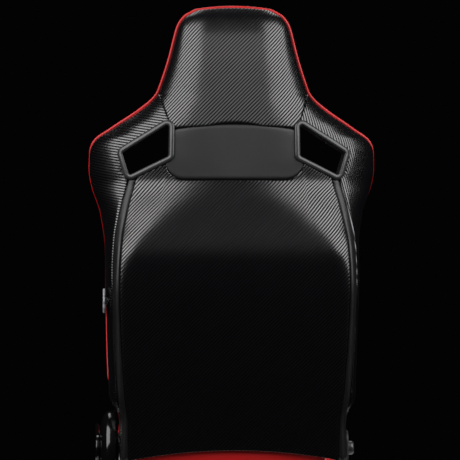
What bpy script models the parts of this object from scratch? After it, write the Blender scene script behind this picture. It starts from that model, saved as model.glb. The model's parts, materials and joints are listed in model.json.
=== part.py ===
"""Reclining sport seat: padded bucket back with harness slots, cushion, tube frame, recliner and sliders.

Metres, +Z up, +Y the way the sitter faces, +X the sitter's right. The origin is on the floor, under the
middle of the seat. Heights on the back and depths on the whole seat are measured from the recline axis.
"""

import math

import bmesh
import bpy
from mathutils import Vector

# Fits
FIT = 0.0003  # between two pieces that touch
SEAM = 0.0006  # between two sewn panels
RUNNING = 0.0004  # round a piece that turns or slides

# Overall sizes
SHOULDER_HALF = 0.280  # half the width over the shoulder wings
HEADREST_TOP = 0.867  # above the recline axis
AXIS_HEIGHT = 0.148  # recline axis above the floor
CUSHION_REACH = 0.500  # cushion nose ahead of the recline axis
HUMP_DEPTH = 0.170  # deepest point of the rear shell behind the axis
AXIS_Y = (HUMP_DEPTH - CUSHION_REACH) / 2

# Outline of the back
HEM_LOW = -0.020
HEM_MIDDLE = -0.006
HIP_HALF = 0.2205
HIP_TOP = 0.050
WAIST_HALF = 0.245
TIP_HEIGHT = 0.606
TIP_DRAW_IN = 0.008  # the shoulder tip's corner lies this far inside the widest point
NECK_HEIGHT = 0.697
NECK_HALF = 0.148
HEADREST_HALF = 0.112
CROWN_HALF = 0.073  # flat part of the headrest's top edge
CROWN_DROP = 0.006
CORNER_HEIGHT = HEADREST_TOP - 0.022  # the headrest's upper corners start here
SHOULDER_TOP = NECK_HEIGHT - 0.010  # top of the shoulder pads

# Rear cover
PANEL = 0.006  # leatherette and its foam backing
PIPING_RADIUS = 0.0025
PIPING_ROOM = 1.24  # from the piping's middle to the pieces beside it, over its radius
HUMP_HEIGHT = 0.378
STRIP_WIDTH = 0.012
STRIP_PROUD = 0.0025
STRIP_DEPTH = 0.004
YOKE_LOW = 0.523
YOKE_TOP = 0.634
YOKE_TOP_DROP = 0.010
YOKE_CORNER = 0.034
YOKE_FLAT = 0.098
SILL_OUTER = (0.2125, 0.516)  # half-width and height where the seam under a harness slot starts and ends
SILL_INNER = (YOKE_FLAT + YOKE_CORNER, YOKE_LOW + YOKE_CORNER)

# Harness slots: corners of the bezel's middle line, half-width and height
SLOT_CORNERS = [(0.127, 0.632), (0.130, 0.565), (0.207, 0.530), (0.225, 0.582)]
SLOT_CORNER_RADIUS = 0.011
BEZEL_OUTER = 0.0055
BEZEL_INNER = 0.0045
BEZEL_PROUD = 0.0055
BEZEL_WALL = 0.0025
BEZEL_SEAT = 0.0008  # flange above the cover it sits on
BEZEL_ROUND = 0.0022  # rounding of its crown
SLOT_MIDDLE_Y = -0.075  # rear and front bezels meet here

# Front pads
PAD_START = 0.085
BOLSTER_TOP = 0.500
PAD_DEPTH = 0.035
PAD_RIM = PANEL
INSERT_DEPTH = 0.034
INSERT_CROWN = 0.010
INSERT_TOP = 0.645
INSERT_BACK_DRAW = 0.004

# Back frame
TUBE_RADIUS = 0.011
TUBE_BUTT = 0.010  # straight length on which two tubes meet end to end
WIRE_RADIUS = 0.002
WIRE_BOW = 0.008
WIRE_HEIGHTS = [0.19, 0.33]
LOWER_BAR_HEIGHT = 0.115
UPPER_BAR_HEIGHT = 0.360
HOOP_DROP = 0.052  # hoop's middle line below the headrest's top

# Recliner and pivot
PLATE = 0.005
DISC_RADIUS = 0.030
BOSS_RADIUS = 0.010
BOSS_PROUD = 0.003  # boss of the disc inside the arm
PIN_RADIUS = 0.007
PIN_HEAD_RADIUS = 0.0112
PIN_HEAD = 0.0045  # thickness of the pin's head
SHAFT_RADIUS = 0.005
BRACKET_HALF = 0.028
BRACKET_TOP = 0.034
BRACKET_GAP = 0.0015  # clear of the cover panel that swings beside it
ARM_HUB = 0.026
ARM_GAP = 0.0012  # inside the cover panel beside it
ARM_TIP_RADIUS = 0.016
COVER_RADIUS = 0.074
COVER_WALL = 0.0025
COVER_HEIGHT = 0.0305
CAP_RADIUS = 0.0135
CAP_HEIGHT = 0.0117
LEVER_THICK = 0.008
LEVER_HUB = 0.019
LEVER_TIP = (0.130, 0.035)
LEVER_TIP_RADIUS = 0.012

# Lumbar adjuster, on the sitter's left
LUMBAR_DEPTH = -0.085
LUMBAR_HEIGHT = 0.290
LUMBAR_SHAFT_RADIUS = 0.004
LUMBAR_CAM_LOW = 0.007
LUMBAR_TRAVEL = 0.014
LUMBAR_CAM_END = 0.030
LUMBAR_CAM_WIDTH = 0.030
LUMBAR_PLATE_GAP = 0.0009
LUMBAR_PLATE = (0.110, 0.050, 0.003)  # half width, half height, thickness
KNOB_RADIUS = 0.0235
KNOB_LOBE = 0.0012
KNOB_LOBES = 10
KNOB_THICK = 0.008
KNOB_PROFILE = [(0.0, 0.94), (0.0015, 1.0), (KNOB_THICK - 0.002, 1.0), (KNOB_THICK, 0.90)]

# Sliders and seat pan
RAIL_X = 0.195
RAIL_LENGTH = 0.400
RAIL_HALF = 0.020
RAIL_WALL = 0.002
RAIL_HIGH = 0.022
RAIL_SLOT_HALF = 0.008
FOOT_HALF = 0.0145
FOOT_LIFT = 0.0046
WEB_HALF = 0.006
FLANGE_HALF = 0.018
FLANGE_THICK = 0.004
UPPER_TOP = 0.045
GLIDE_LENGTH = 0.030
GLIDE_INSET = 0.030
PAN_PLATE = 0.004
PAN_X = 0.190
PAN_TOP = 0.0848
PAN_REAR = -0.015
PAN_FRONT = 0.440
PAN_NOSE = 0.015  # cut off the side plate's front corner
PAN_HEEL = 0.020  # and off its rear corners
PAN_TUBE_REAR = 0.030
PAN_TUBE_FRONT = 0.420
PAN_WIRES = [0.12, 0.21, 0.30]

# Cushion
CUSHION_LOW = 0.086
CUSHION_REAR = -0.035
SEAT_INSERT_HALF = 0.158
SEAT_CROWN = 0.012
SEAT_BOLSTER_WIDTH = 0.088
SEAT_BOLSTER_REAR = 0.085
SEAT_BOLSTER_FRONT = 0.475
SEAT_RIM = 0.012
SEAT_SIDE_LOW = 0.112
SKIRT_RADIUS = 0.0576
SKIRT_WALL = 0.012
SKIRT_HALF = 0.183
SKIRT_START = math.radians(95)
SKIRT_END = math.radians(255)

# Slide release bar
BAR_RADIUS = 0.005
BAR_PIVOT = 0.250
BAR_HEIGHT = 0.033
BAR_HALF = 0.150
BAR_FRONT = 0.465
BAR_BEND = 0.025
BUSH_WIDTH = 0.020
BUSH_LENGTH = 0.018

TURN = math.tau
HALF_TURN = math.pi
QUARTER = math.pi / 2


def blend(start, end, share):
    """Value a share of the way from start to end."""
    return start + (end - start) * share


def smooth_value(stations, place):
    """Value at a place along (place, value) stations, on a smooth curve that never overshoots them."""
    if place <= stations[0][0]:
        return stations[0][1]
    if place >= stations[-1][0]:
        return stations[-1][1]
    spans = [(b[0] - a[0], (b[1] - a[1]) / (b[0] - a[0])) for a, b in zip(stations, stations[1:])]

    def slope(knot):
        if knot in (0, len(spans)):
            return spans[min(knot, len(spans) - 1)][1]
        (before, rise), (after, climb) = spans[knot - 1], spans[knot]
        if rise * climb <= 0:
            return 0.0
        return (before + after) / (before / rise + after / climb)

    index = next(i for i in range(len(spans)) if place <= stations[i + 1][0])
    length = spans[index][0]
    t = (place - stations[index][0]) / length
    low, high = stations[index][1], stations[index + 1][1]
    return (
        low * (2 * t**3 - 3 * t**2 + 1)
        + high * (3 * t**2 - 2 * t**3)
        + length * slope(index) * (t**3 - 2 * t**2 + t)
        + length * slope(index + 1) * (t**3 - t**2)
    )


def shoulder_line(height_share, width_share):
    """A point on the shoulder's top edge, between the tip and the neck, as (height, half-width)."""
    tip_half = SHOULDER_HALF - TIP_DRAW_IN
    return blend(TIP_HEIGHT, NECK_HEIGHT, height_share), blend(tip_half, NECK_HALF, width_share)


# Half-width of the back at each height
OUTLINE = [
    (HEM_LOW, HIP_HALF),
    (HIP_TOP, HIP_HALF),
    (0.070, HIP_HALF + 0.003),
    (0.105, WAIST_HALF - 0.004),
    (0.200, WAIST_HALF),
    (0.391, WAIST_HALF + 0.003),
    (0.462, blend(WAIST_HALF, SHOULDER_HALF, 0.37)),
    (0.509, SHOULDER_HALF - 0.006),
    (0.545, SHOULDER_HALF),
    (0.585, SHOULDER_HALF - 0.001),
    (TIP_HEIGHT, SHOULDER_HALF - TIP_DRAW_IN),
    shoulder_line(0.26, 0.26),
    shoulder_line(0.62, 0.65),
    shoulder_line(0.87, 0.90),
    (NECK_HEIGHT, NECK_HALF),
    (NECK_HEIGHT + 0.059, blend(NECK_HALF, HEADREST_HALF, 0.55)),
    (CORNER_HEIGHT - 0.023, HEADREST_HALF),
    (CORNER_HEIGHT, HEADREST_HALF - 0.012),
    (HEADREST_TOP - CROWN_DROP, CROWN_HALF),
]

# Depth of the rear cover on the middle line at each height
REAR = [
    (HEM_LOW, -0.083),
    (0.050, -0.100),
    (0.152, -0.125),
    (0.302, -0.160),
    (HUMP_HEIGHT, -HUMP_DEPTH),
    (0.452, -0.162),
    (YOKE_LOW, -0.141),
    (YOKE_TOP, -0.137),
    (NECK_HEIGHT + 0.023, -0.134),
    (HEADREST_TOP - 0.067, -0.124),
    (CORNER_HEIGHT, -0.106),
    (HEADREST_TOP - CROWN_DROP, -0.088),
    (HEADREST_TOP, -0.0778),
]

# Half-width of the rear cover's flat middle at each height
FLAT = [
    (HEM_LOW, 0.185),
    (0.302, 0.185),
    (HUMP_HEIGHT, 0.170),
    (0.452, 0.125),
    (YOKE_LOW, 0.100),
    (YOKE_TOP, 0.100),
    (NECK_HEIGHT, 0.075),
    (HEADREST_TOP - 0.067, 0.063),
    (HEADREST_TOP, 0.045),
]

# Depth of the piped edge, where the rear cover meets the front pads
EDGE = [
    (HEM_LOW, -0.050),
    (0.000, -0.040),
    (0.030, -0.020),
    (0.060, 0.015),
    (0.100, 0.060),
    (0.180, 0.110),
    (0.260, 0.125),
    (0.340, 0.100),
    (0.420, 0.055),
    (0.500, 0.020),
    (0.560, 0.010),
    (TIP_HEIGHT, -0.002),
    (0.640, -0.025),
    (NECK_HEIGHT, -0.058),
    (NECK_HEIGHT + 0.053, -0.066),
    (HEADREST_TOP - 0.067, -0.069),
    (HEADREST_TOP, -0.072),
]

# How square the rear cover's corner is: 2 is an ellipse, more is nearer a box
SQUARE = [
    (HEM_LOW, 5.0),
    (0.302, 4.5),
    (0.420, 3.2),
    (YOKE_LOW, 2.4),
    (TIP_HEIGHT, 2.2),
    (NECK_HEIGHT, 2.0),
    (HEADREST_TOP - 0.067, 2.2),
    (HEADREST_TOP, 2.4),
]

# Half-width of the lower rear panel, at the inner edge of its seam strip
STRIP = [
    (HEM_LOW, HIP_HALF - 0.017),
    (HIP_TOP, HIP_HALF - 0.017),
    (0.105, WAIST_HALF - 0.029),
    (0.292, WAIST_HALF - 0.023),
    (0.392, WAIST_HALF - 0.023),
    (0.432, WAIST_HALF - 0.029),
    (SILL_OUTER[1], SILL_OUTER[0] - STRIP_WIDTH),
]

# Seam from the yoke's lower corner up past the harness slot to the neck, height and half-width
NECK_SEAM = [
    (SILL_INNER[1], SILL_INNER[0]),
    (SILL_INNER[1] + 0.013, 0.1225),
    (YOKE_TOP - YOKE_TOP_DROP, 0.118),
    (YOKE_TOP + 0.008, 0.126),
    (NECK_HEIGHT - 0.010, NECK_HALF - 0.006),
    (NECK_HEIGHT, NECK_HALF),
]

# Front pads: half-width and depth of the insert's edge, bolster crest, headrest's front and back
INSERT_HALF = [(PAD_START, 0.150), (0.440, 0.150), (0.520, 0.112), (INSERT_TOP, 0.110)]
INSERT_FRONT = [
    (PAD_START, 0.005),
    (0.200, 0.000),
    (0.340, -0.015),
    (0.450, -0.045),
    (0.550, -0.058),
    (INSERT_TOP + 0.015, -0.055),
]
CREST = [
    (PAD_START, 0.020),
    (0.200, 0.034),
    (0.350, 0.036),
    (BOLSTER_TOP, 0.026),
    (0.600, 0.022),
    (0.690, 0.012),
]
HEADREST_FRONT = [
    (INSERT_TOP, -0.045),
    (NECK_HEIGHT, -0.022),
    (HEADREST_TOP - 0.087, -0.008),
    (HEADREST_TOP - 0.027, -0.020),
    (HEADREST_TOP - CROWN_DROP, -0.045),
    (HEADREST_TOP, -0.058),
]
HEADREST_BACK = [(INSERT_TOP, -0.088), (SHOULDER_TOP, -0.075)]
HEADREST_LIFT = [(INSERT_TOP, 0.030), (SHOULDER_TOP, 0.025), (NECK_HEIGHT + 0.013, 0.0)]

# Cushion: heights above the floor at depths ahead of the axis
SEAT_TOP = [
    (CUSHION_REAR, 0.190),
    (0.000, 0.199),
    (0.150, 0.205),
    (0.300, 0.220),
    (CUSHION_REACH - 0.090, 0.232),
    (CUSHION_REACH - 0.030, 0.222),
    (CUSHION_REACH, 0.165),
]
SEAT_LOW = [
    (CUSHION_REAR, 0.103),
    (-0.010, 0.092),
    (0.020, CUSHION_LOW),
    (CUSHION_REACH, CUSHION_LOW + 0.004),
]
SEAT_CREST = [
    (SEAT_BOLSTER_REAR, 0.004),
    (0.150, 0.020),
    (0.250, 0.038),
    (0.380, 0.034),
    (SEAT_BOLSTER_FRONT, 0.006),
]
SEAT_TAPER = [
    (SEAT_BOLSTER_REAR, 0.30),
    (0.130, 0.80),
    (0.200, 1.00),
    (SEAT_BOLSTER_FRONT - 0.075, 1.00),
    (SEAT_BOLSTER_FRONT - 0.020, 0.75),
    (SEAT_BOLSTER_FRONT, 0.35),
]

# Places of the recliner's plates along X, from the middle outwards
ARM_OUT = HIP_HALF - PANEL - ARM_GAP
ARM_IN = ARM_OUT - PLATE
BRACKET_IN = HIP_HALF + BRACKET_GAP
BRACKET_OUT = BRACKET_IN + PLATE
COVER_START = BRACKET_OUT + SEAM
COVER_TOP = COVER_START + COVER_HEIGHT
LEVER_IN = COVER_TOP + RUNNING
UPRIGHT_X = ARM_IN - FIT - TUBE_RADIUS

# Back frame: depth of the uprights by height, their upper bends, and half of the headrest's hoop
UPRIGHT_DEPTH = [(0.060, -0.052), (0.130, -0.078), (0.250, -0.108), (0.360, -0.120)]
UPRIGHT_ROWS = [0.060, 0.130, 0.250, 0.360, 0.400]
UPRIGHT_SHOULDER = [(0.170, -0.120, 0.455), (0.122, -0.117, 0.515), (0.098, -0.115, 0.555)]
HOOP = [
    (0.090, -0.112, 0.625),
    (0.084, -0.106, NECK_HEIGHT),
    (0.074, -0.098, HEADREST_TOP - 0.095),
    (0.048, -0.093, HEADREST_TOP - HOOP_DROP - 0.012),
]
HOOP_MIDDLE = (0.0, -0.092, HEADREST_TOP - HOOP_DROP)


def start_empty_scene():
    for obj in list(bpy.data.objects):
        bpy.data.objects.remove(obj, do_unlink=True)


def finish(name, colour, roughness, metallic=0.0):
    """A plain material from an sRGB colour given as three shares of full brightness."""
    material = bpy.data.materials.new(name)
    material.use_nodes = True
    shader = material.node_tree.nodes["Principled BSDF"]
    linear = [part / 12.92 if part <= 0.04045 else ((part + 0.055) / 1.055) ** 2.4 for part in colour]
    shader.inputs["Base Color"].default_value = (*linear, 1.0)
    shader.inputs["Roughness"].default_value = roughness
    shader.inputs["Metallic"].default_value = metallic
    return material


def make_finishes():
    return {
        "carbon": finish("twill_vinyl", (0.10, 0.10, 0.10), 0.45),
        "smooth": finish("smooth_vinyl", (0.09, 0.09, 0.09), 0.50),
        "red": finish("red_vinyl", (0.76, 0.07, 0.07), 0.50),
        "satin": finish("satin_plastic", (0.11, 0.11, 0.11), 0.40),
        "gloss": finish("gloss_plastic", (0.05, 0.05, 0.05), 0.15),
        "knob": finish("knob_plastic", (0.55, 0.56, 0.57), 0.35),
        "frame": finish("frame_paint", (0.08, 0.08, 0.08), 0.55, 0.4),
        "zinc": finish("zinc_plate", (0.62, 0.63, 0.64), 0.35, 1.0),
        "nylon": finish("nylon", (0.80, 0.79, 0.75), 0.55),
    }


def axis_empty(name, place, parent=None):
    empty = bpy.data.objects.new(name, None)
    empty.location = place
    empty.parent = parent
    bpy.context.scene.collection.objects.link(empty)
    return empty


def solid(name, vertices, faces, material, parent, smooth_angle=40.0):
    """A closed mesh object with its faces turned outwards and smooth shading up to an angle."""
    mesh = bpy.data.meshes.new(name)
    mesh.from_pydata([tuple(vertex) for vertex in vertices], [], faces)
    shape = bmesh.new()
    shape.from_mesh(mesh)
    bmesh.ops.recalc_face_normals(shape, faces=shape.faces)
    if shape.calc_volume(signed=True) < 0:
        bmesh.ops.reverse_faces(shape, faces=shape.faces)
    shape.to_mesh(mesh)
    shape.free()
    mesh.shade_smooth()
    mesh.set_sharp_from_angle(angle=math.radians(smooth_angle))
    mesh.materials.append(material)
    obj = bpy.data.objects.new(name, mesh)
    obj.parent = parent
    bpy.context.scene.collection.objects.link(obj)
    return obj


def cut(target, cutter, solver="EXACT"):
    """Takes a cutter's shape out of a piece."""
    cutter.hide_render = True
    cutter.display_type = "WIRE"
    boolean = target.modifiers.new("cut " + cutter.name, "BOOLEAN")
    boolean.operation = "DIFFERENCE"
    boolean.solver = solver
    boolean.object = cutter


def even(count, start=0.0, end=1.0):
    """Values from start to end in even steps."""
    return [blend(start, end, i / count) for i in range(count + 1)]


def grid_solid(name, outer, inner, columns, rows, material, parent):
    """A closed solid between two surfaces, each a function of a column's and a row's value."""
    places = [(u, v) for v in rows for u in columns]
    vertices = [outer(u, v) for u, v in places] + [inner(u, v) for u, v in places]
    wide = len(columns)
    layer = len(places)
    faces = []
    for j in range(len(rows) - 1):
        for i in range(wide - 1):
            a = j * wide + i
            quad = [a, a + 1, a + 1 + wide, a + wide]
            faces.append(quad)
            faces.append([layer + corner for corner in reversed(quad)])
    bottom = list(range(wide))
    right = [j * wide + wide - 1 for j in range(len(rows))]
    top = [layer - wide + i for i in reversed(range(wide))]
    left = [j * wide for j in reversed(range(len(rows)))]
    for edge in (bottom, right, top, left):
        for a, b in zip(edge, edge[1:]):
            faces.append([a, layer + a, layer + b, b])
    return solid(name, vertices, faces, material, parent)


def loft(name, rings, material, parent, closed=False, smooth_angle=40.0):
    """A solid through rings of like point counts; a closed loft joins its last ring to its first."""
    count = len(rings[0])
    vertices = [point for ring in rings for point in ring]
    faces = []
    pairs = list(zip(range(len(rings)), range(1, len(rings))))
    if closed:
        pairs.append((len(rings) - 1, 0))
    for low, high in pairs:
        for i in range(count):
            k = (i + 1) % count
            faces.append([low * count + i, low * count + k, high * count + k, high * count + i])
    if not closed:
        faces.append(list(range(count)))
        faces.append([(len(rings) - 1) * count + i for i in reversed(range(count))])
    return solid(name, vertices, faces, material, parent, smooth_angle)


def circle(radius, count):
    return [(radius * math.cos(TURN * i / count), radius * math.sin(TURN * i / count)) for i in range(count)]


def tube(name, path, radius, sides, material, parent):
    """A round bar along a path, its section carried along without twist."""
    points = [Vector(point) for point in path]
    last = len(points) - 1
    rings = []
    across = None
    for i, point in enumerate(points):
        along = (points[min(i + 1, last)] - points[max(i - 1, 0)]).normalized()
        if across is None:
            across = along.orthogonal()
        across = (across - along * across.dot(along)).normalized()
        beside = along.cross(across)
        rings.append([point + across * a + beside * b for a, b in circle(radius, sides)])
    return loft(name, rings, material, parent, smooth_angle=60.0)


def curve_through(knots, steps):
    """Points on a smooth curve through the knots, with a number of steps between each two."""
    knots = [Vector(knot) for knot in knots]
    ghost = [2 * knots[0] - knots[1], *knots, 2 * knots[-1] - knots[-2]]
    points = []
    for a, b, c, d in zip(ghost, ghost[1:], ghost[2:], ghost[3:]):
        for step in range(steps):
            t = step / steps
            square = (2 * a - 5 * b + 4 * c - d) * t**2
            cube = (3 * b - a - 3 * c + d) * t**3
            points.append((2 * b + (c - a) * t + square + cube) / 2)
    return points + [knots[-1]]


def extrude(name, outline, axis, start, end, material, parent):
    """An outline drawn in the two other axes, in X, Y, Z order, run along one axis from start to end."""

    def place(point, along):
        values = list(point)
        values.insert("XYZ".index(axis), along)
        return values

    rings = [[place(point, along) for point in outline] for along in (start, end)]
    return loft(name, rings, material, parent)


def turned(name, profile, side, material, parent, sides=24):
    """A profile of (radius, distance along X) turned about the X axis; an open one starts and ends on it."""
    open_ended = profile[0][0] == 0
    body = profile[1:-1] if open_ended else profile
    rings = [[(side * along, a, b) for a, b in circle(radius, sides)] for radius, along in body]
    return loft(name, rings, material, parent, closed=not open_ended)


def rod_cutter(name, radius, start, end, parent, place=(0.0, 0.0), sides=24):
    rings = [[(x, place[0] + a, place[1] + b) for a, b in circle(radius, sides)] for x in (start, end)]
    return loft(name, rings, None, parent)


def link_outline(centre, radius, tip, tip_radius, steps=8):
    """Outline of a plate that wraps two circles."""
    run = Vector(tip) - Vector(centre)
    heading = math.atan2(run.y, run.x)
    lean = math.acos((radius - tip_radius) / run.length)
    outline = []
    for middle, size, start, end in (
        (tip, tip_radius, heading - lean, heading + lean),
        (centre, radius, heading + lean, heading - lean + TURN),
    ):
        for i in range(steps + 1):
            angle = blend(start, end, i / steps)
            outline.append((middle[0] + size * math.cos(angle), middle[1] + size * math.sin(angle)))
    return outline


def offset_corners(corners, distance):
    """Corners of a polygon, given anticlockwise, moved out by a distance."""
    moved = []
    count = len(corners)
    for i in range(count):
        before, here, after = (Vector(corners[(i + k) % count]) for k in (-1, 0, 1))
        first = (here - before).normalized()
        second = (after - here).normalized()
        normals = [Vector((edge.y, -edge.x)) for edge in (first, second)]
        middle = (normals[0] + normals[1]).normalized()
        moved.append(here + middle * (distance / middle.dot(normals[0])))
    return moved


def rounded_corners(corners, radius, steps=3):
    """Outline of a polygon, given anticlockwise, with each corner an arc."""
    outline = []
    count = len(corners)
    for i in range(count):
        before, here, after = (Vector(corners[(i + k) % count]) for k in (-1, 0, 1))
        back = (before - here).normalized()
        ahead = (after - here).normalized()
        half_angle = math.acos(back.dot(ahead)) / 2
        centre = here + (back + ahead).normalized() * (radius / math.sin(half_angle))
        reach = radius / math.tan(half_angle)
        start = here + back * reach - centre
        sweep = math.pi - 2 * half_angle
        for step in range(steps + 1):
            angle = sweep * step / steps
            outline.append(
                centre
                + Vector(
                    (
                        start.x * math.cos(angle) - start.y * math.sin(angle),
                        start.x * math.sin(angle) + start.y * math.cos(angle),
                    )
                )
            )
    return outline


def half_width(height):
    return smooth_value(OUTLINE, height)


def outline_lean(height):
    """Length along X of a unit step square to the outline, so it grows where the outline leans."""
    step = 0.010
    run = (half_width(height + step) - half_width(height - step)) / (2 * step)
    return math.hypot(1.0, run)


def edge_gap(height):
    """Room for half the piping, measured along Y, so it grows where the edge line leans."""
    step = 0.020
    here = smooth_value(EDGE, height)
    lean = max(abs(smooth_value(EDGE, height + run) - here) for run in (-step, step)) / step
    return PIPING_ROOM * PIPING_RADIUS * math.hypot(1.0, lean)


def panel_edge(height):
    """Depth at which the rear cover stops, just behind the piping."""
    return smooth_value(EDGE, height) - edge_gap(height)


def pad_edge(height):
    """Depth at which the front pads start, just ahead of the piping."""
    return smooth_value(EDGE, height) + edge_gap(height)


def skin_point(sigma, height, inset=0.0):
    """Point of the rear cover: sigma 0 is the middle, 1 the end of the flat and 2 the piped edge."""
    side = math.copysign(1.0, sigma)
    front = panel_edge(height)
    rear = min(smooth_value(REAR, height) + inset, front - FIT)
    flat = smooth_value(FLAT, height) - inset / 3
    half = half_width(height) - inset
    if abs(sigma) <= 1:
        return side * abs(sigma) * flat, rear, height
    turn = (abs(sigma) - 1) * QUARTER
    power = smooth_value(SQUARE, height)
    size = (math.sin(turn) ** power + math.cos(turn) ** power) ** (1 / power)
    x = flat + (half - flat) * math.sin(turn) / size
    return side * x, front - (front - rear) * math.cos(turn) / size, height


def sigma_at(x, height):
    """Sigma of the rear cover's point at a distance x from the middle."""
    flat = smooth_value(FLAT, height)
    if abs(x) <= flat:
        return x / flat
    power = smooth_value(SQUARE, height)
    share = min((abs(x) - flat) / (half_width(height) - flat), 1.0)
    turn = math.atan2(share, (1 - share**power) ** (1 / power))
    return math.copysign(1 + turn / QUARTER, x)


def skin_depth(x, height):
    return skin_point(sigma_at(x, height), height)[1]


def hem_height(x):
    return HEM_MIDDLE - (HEM_MIDDLE - HEM_LOW) * min(abs(x) / smooth_value(STRIP, HEM_LOW), 1.0) ** 2


def sill_height(x):
    """Seam over the lower rear panel: along the yoke, round its corner and under the harness slot."""
    x = abs(x)
    if x <= YOKE_FLAT:
        return YOKE_LOW
    if x <= SILL_INNER[0]:
        return SILL_INNER[1] - math.sqrt(YOKE_CORNER**2 - (x - YOKE_FLAT) ** 2)
    share = (x - SILL_INNER[0]) / (SILL_OUTER[0] - SILL_INNER[0])
    return blend(SILL_INNER[1], SILL_OUTER[1], share)


def side_inner(height):
    """Half-width at which a side panel starts: the seam strip, the slot's sill, then the neck seam."""
    if height <= SILL_OUTER[1]:
        return smooth_value(STRIP, height) + STRIP_WIDTH
    if height <= SILL_INNER[1]:
        share = (height - SILL_OUTER[1]) / (SILL_INNER[1] - SILL_OUTER[1])
        return blend(SILL_OUTER[0], SILL_INNER[0], share)
    return smooth_value(NECK_SEAM, height)


def headrest_top(x):
    """The headrest's top edge is slightly crowned."""
    return HEADREST_TOP - CROWN_DROP * min(abs(x) / CROWN_HALF, 1.0) ** 2


def cover_panel(name, place, columns, rows, material, parent, proud=0.0, depth=PANEL, top_draw=0.0):
    """A panel of the rear cover. place gives sigma and height; proud lifts the middle of a strip."""

    def outer(u, v):
        sigma, height = place(u, v)
        lift = proud * math.sin(HALF_TURN * u)
        return skin_point(sigma, height, -lift)

    def inner(u, v):
        sigma, height = place(u, v)
        return skin_point(sigma, height - top_draw * v**4, depth)

    return grid_solid(name, outer, inner, columns, rows, material, parent)


def lower_panel_place(x, v):
    """x is the column's half-width along the sill, v runs from the hem to the sill."""
    share = x / smooth_value(STRIP, SILL_OUTER[1])
    low = hem_height(share * smooth_value(STRIP, HEM_LOW))
    height = blend(low, sill_height(x) - SEAM, v)
    return sigma_at(share * (smooth_value(STRIP, height) - SEAM), height), height


def yoke_place(x, v):
    """x is the column's half-width along the sill, v runs from the sill to the yoke's top seam."""
    share = x / SILL_INNER[0]
    top = YOKE_TOP - YOKE_TOP_DROP * share**2 - SEAM
    height = blend(sill_height(x) + SEAM, top, v)
    half = smooth_value(NECK_SEAM, max(height, SILL_INNER[1])) - SEAM
    return sigma_at(share * half, height), height


def headrest_place(share, v):
    """share is the column, from -1 to 1, and v runs from the yoke's top seam to the headrest's top."""
    low = YOKE_TOP - YOKE_TOP_DROP * share**2 + SEAM
    height = blend(low, HEADREST_TOP - CROWN_DROP * share**2, v)
    limit = 2.0
    if height < NECK_HEIGHT:
        limit = sigma_at(smooth_value(NECK_SEAM, height) - SEAM, height)
    return share * limit, height


def side_panel_place(side):
    def place(u, height):
        start = sigma_at(side_inner(height) + 2 * SEAM, height)
        return side * blend(start, 2.0, u), height

    return place


def strip_place(side):
    def place(u, height):
        inner = smooth_value(STRIP, height)
        return side * sigma_at(blend(inner + SEAM, inner + STRIP_WIDTH - SEAM, u), height), height

    return place


def shares_between(heights, low, high):
    return [(height - low) / (high - low) for height in heights]


# Pieces that share a seam or an edge have their columns and rows at the same places along it
SILL_COLUMNS = [0.0, 0.050, YOKE_FLAT, 0.116, 0.127, SILL_INNER[0]]
SLOT_COLUMNS = even(3, SILL_INNER[0], smooth_value(STRIP, SILL_OUTER[1]))[1:]
HIP_ROWS = [HEM_LOW, 0.008, 0.030, HIP_TOP, 0.070]
BOLSTER_ROWS = [PAD_START, 0.105, 0.140, 0.185, 0.230, 0.280, 0.330, 0.380, 0.425, 0.465, BOLSTER_TOP]
STRIP_ROWS = HIP_ROWS + BOLSTER_ROWS + [SILL_OUTER[1] - 2 * SEAM]
SILL_ROWS = even(3, SILL_OUTER[1], SILL_INNER[1])
YOKE_ROWS = [SILL_INNER[1], 0.570, 0.588, TIP_HEIGHT, YOKE_TOP - YOKE_TOP_DROP]
NECK_ROWS = [YOKE_TOP - YOKE_TOP_DROP, 0.642, 0.665, SHOULDER_TOP, NECK_HEIGHT - 0.003, NECK_HEIGHT]
HEADREST_ROWS = even(6, NECK_HEIGHT, CORNER_HEIGHT)[1:] + [0.855, HEADREST_TOP - CROWN_DROP]
SIDE_ROWS = STRIP_ROWS + SILL_ROWS + YOKE_ROWS[1:] + NECK_ROWS[1:-1]


def mirrored(columns):
    """Columns from the middle outwards, made into columns from left to right."""
    return [-x for x in reversed(columns[1:])] + columns


def slot_outline(distance, spans=1):
    """Outline of a harness slot, moved out from the bezel's middle line, its straight sides in spans."""
    steps = 3
    outline = rounded_corners(offset_corners(SLOT_CORNERS, distance), SLOT_CORNER_RADIUS + distance, steps)
    points = []
    for i, point in enumerate(outline):
        points.append(point)
        if i % (steps + 1) == steps:
            following = outline[(i + 1) % len(outline)]
            points.extend(point.lerp(following, k / spans) for k in range(1, spans))
    return points


def slot_cutter(name, side, parent):
    """A prism through the back, wide enough for the bezel's sleeve."""
    outline = [(side * point.x, point.y) for point in slot_outline(BEZEL_WALL - BEZEL_INNER + RUNNING)]
    return extrude(name, outline, "Y", -0.30, 0.30, None, parent)


def bolster_depth(x, height):
    """Depth of the bolsters' and shoulder pads' front surface at a distance x from the middle."""
    inner = smooth_value(INSERT_HALF, height)
    share = min(max((abs(x) - inner) / (half_width(height) - inner), 0.0), 1.0)
    return bolster_front(math.asin(share) / QUARTER, height)[1]


def bolster_front(share, height):
    inner = smooth_value(INSERT_HALF, height)
    x = blend(inner, half_width(height), math.sin(share * QUARTER))
    y = blend(smooth_value(INSERT_FRONT, height), pad_edge(height), share**2 * (3 - 2 * share))
    return x, y + smooth_value(CREST, height) * math.sin(HALF_TURN * share) ** 0.8, height


def bolster_back(share, height):
    inner = smooth_value(INSERT_HALF, height)
    x = blend(inner, half_width(height) - PAD_RIM * outline_lean(height), math.sin(share * QUARTER))
    return x, blend(smooth_value(INSERT_FRONT, height) - PAD_DEPTH, pad_edge(height), share**2), height


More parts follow.
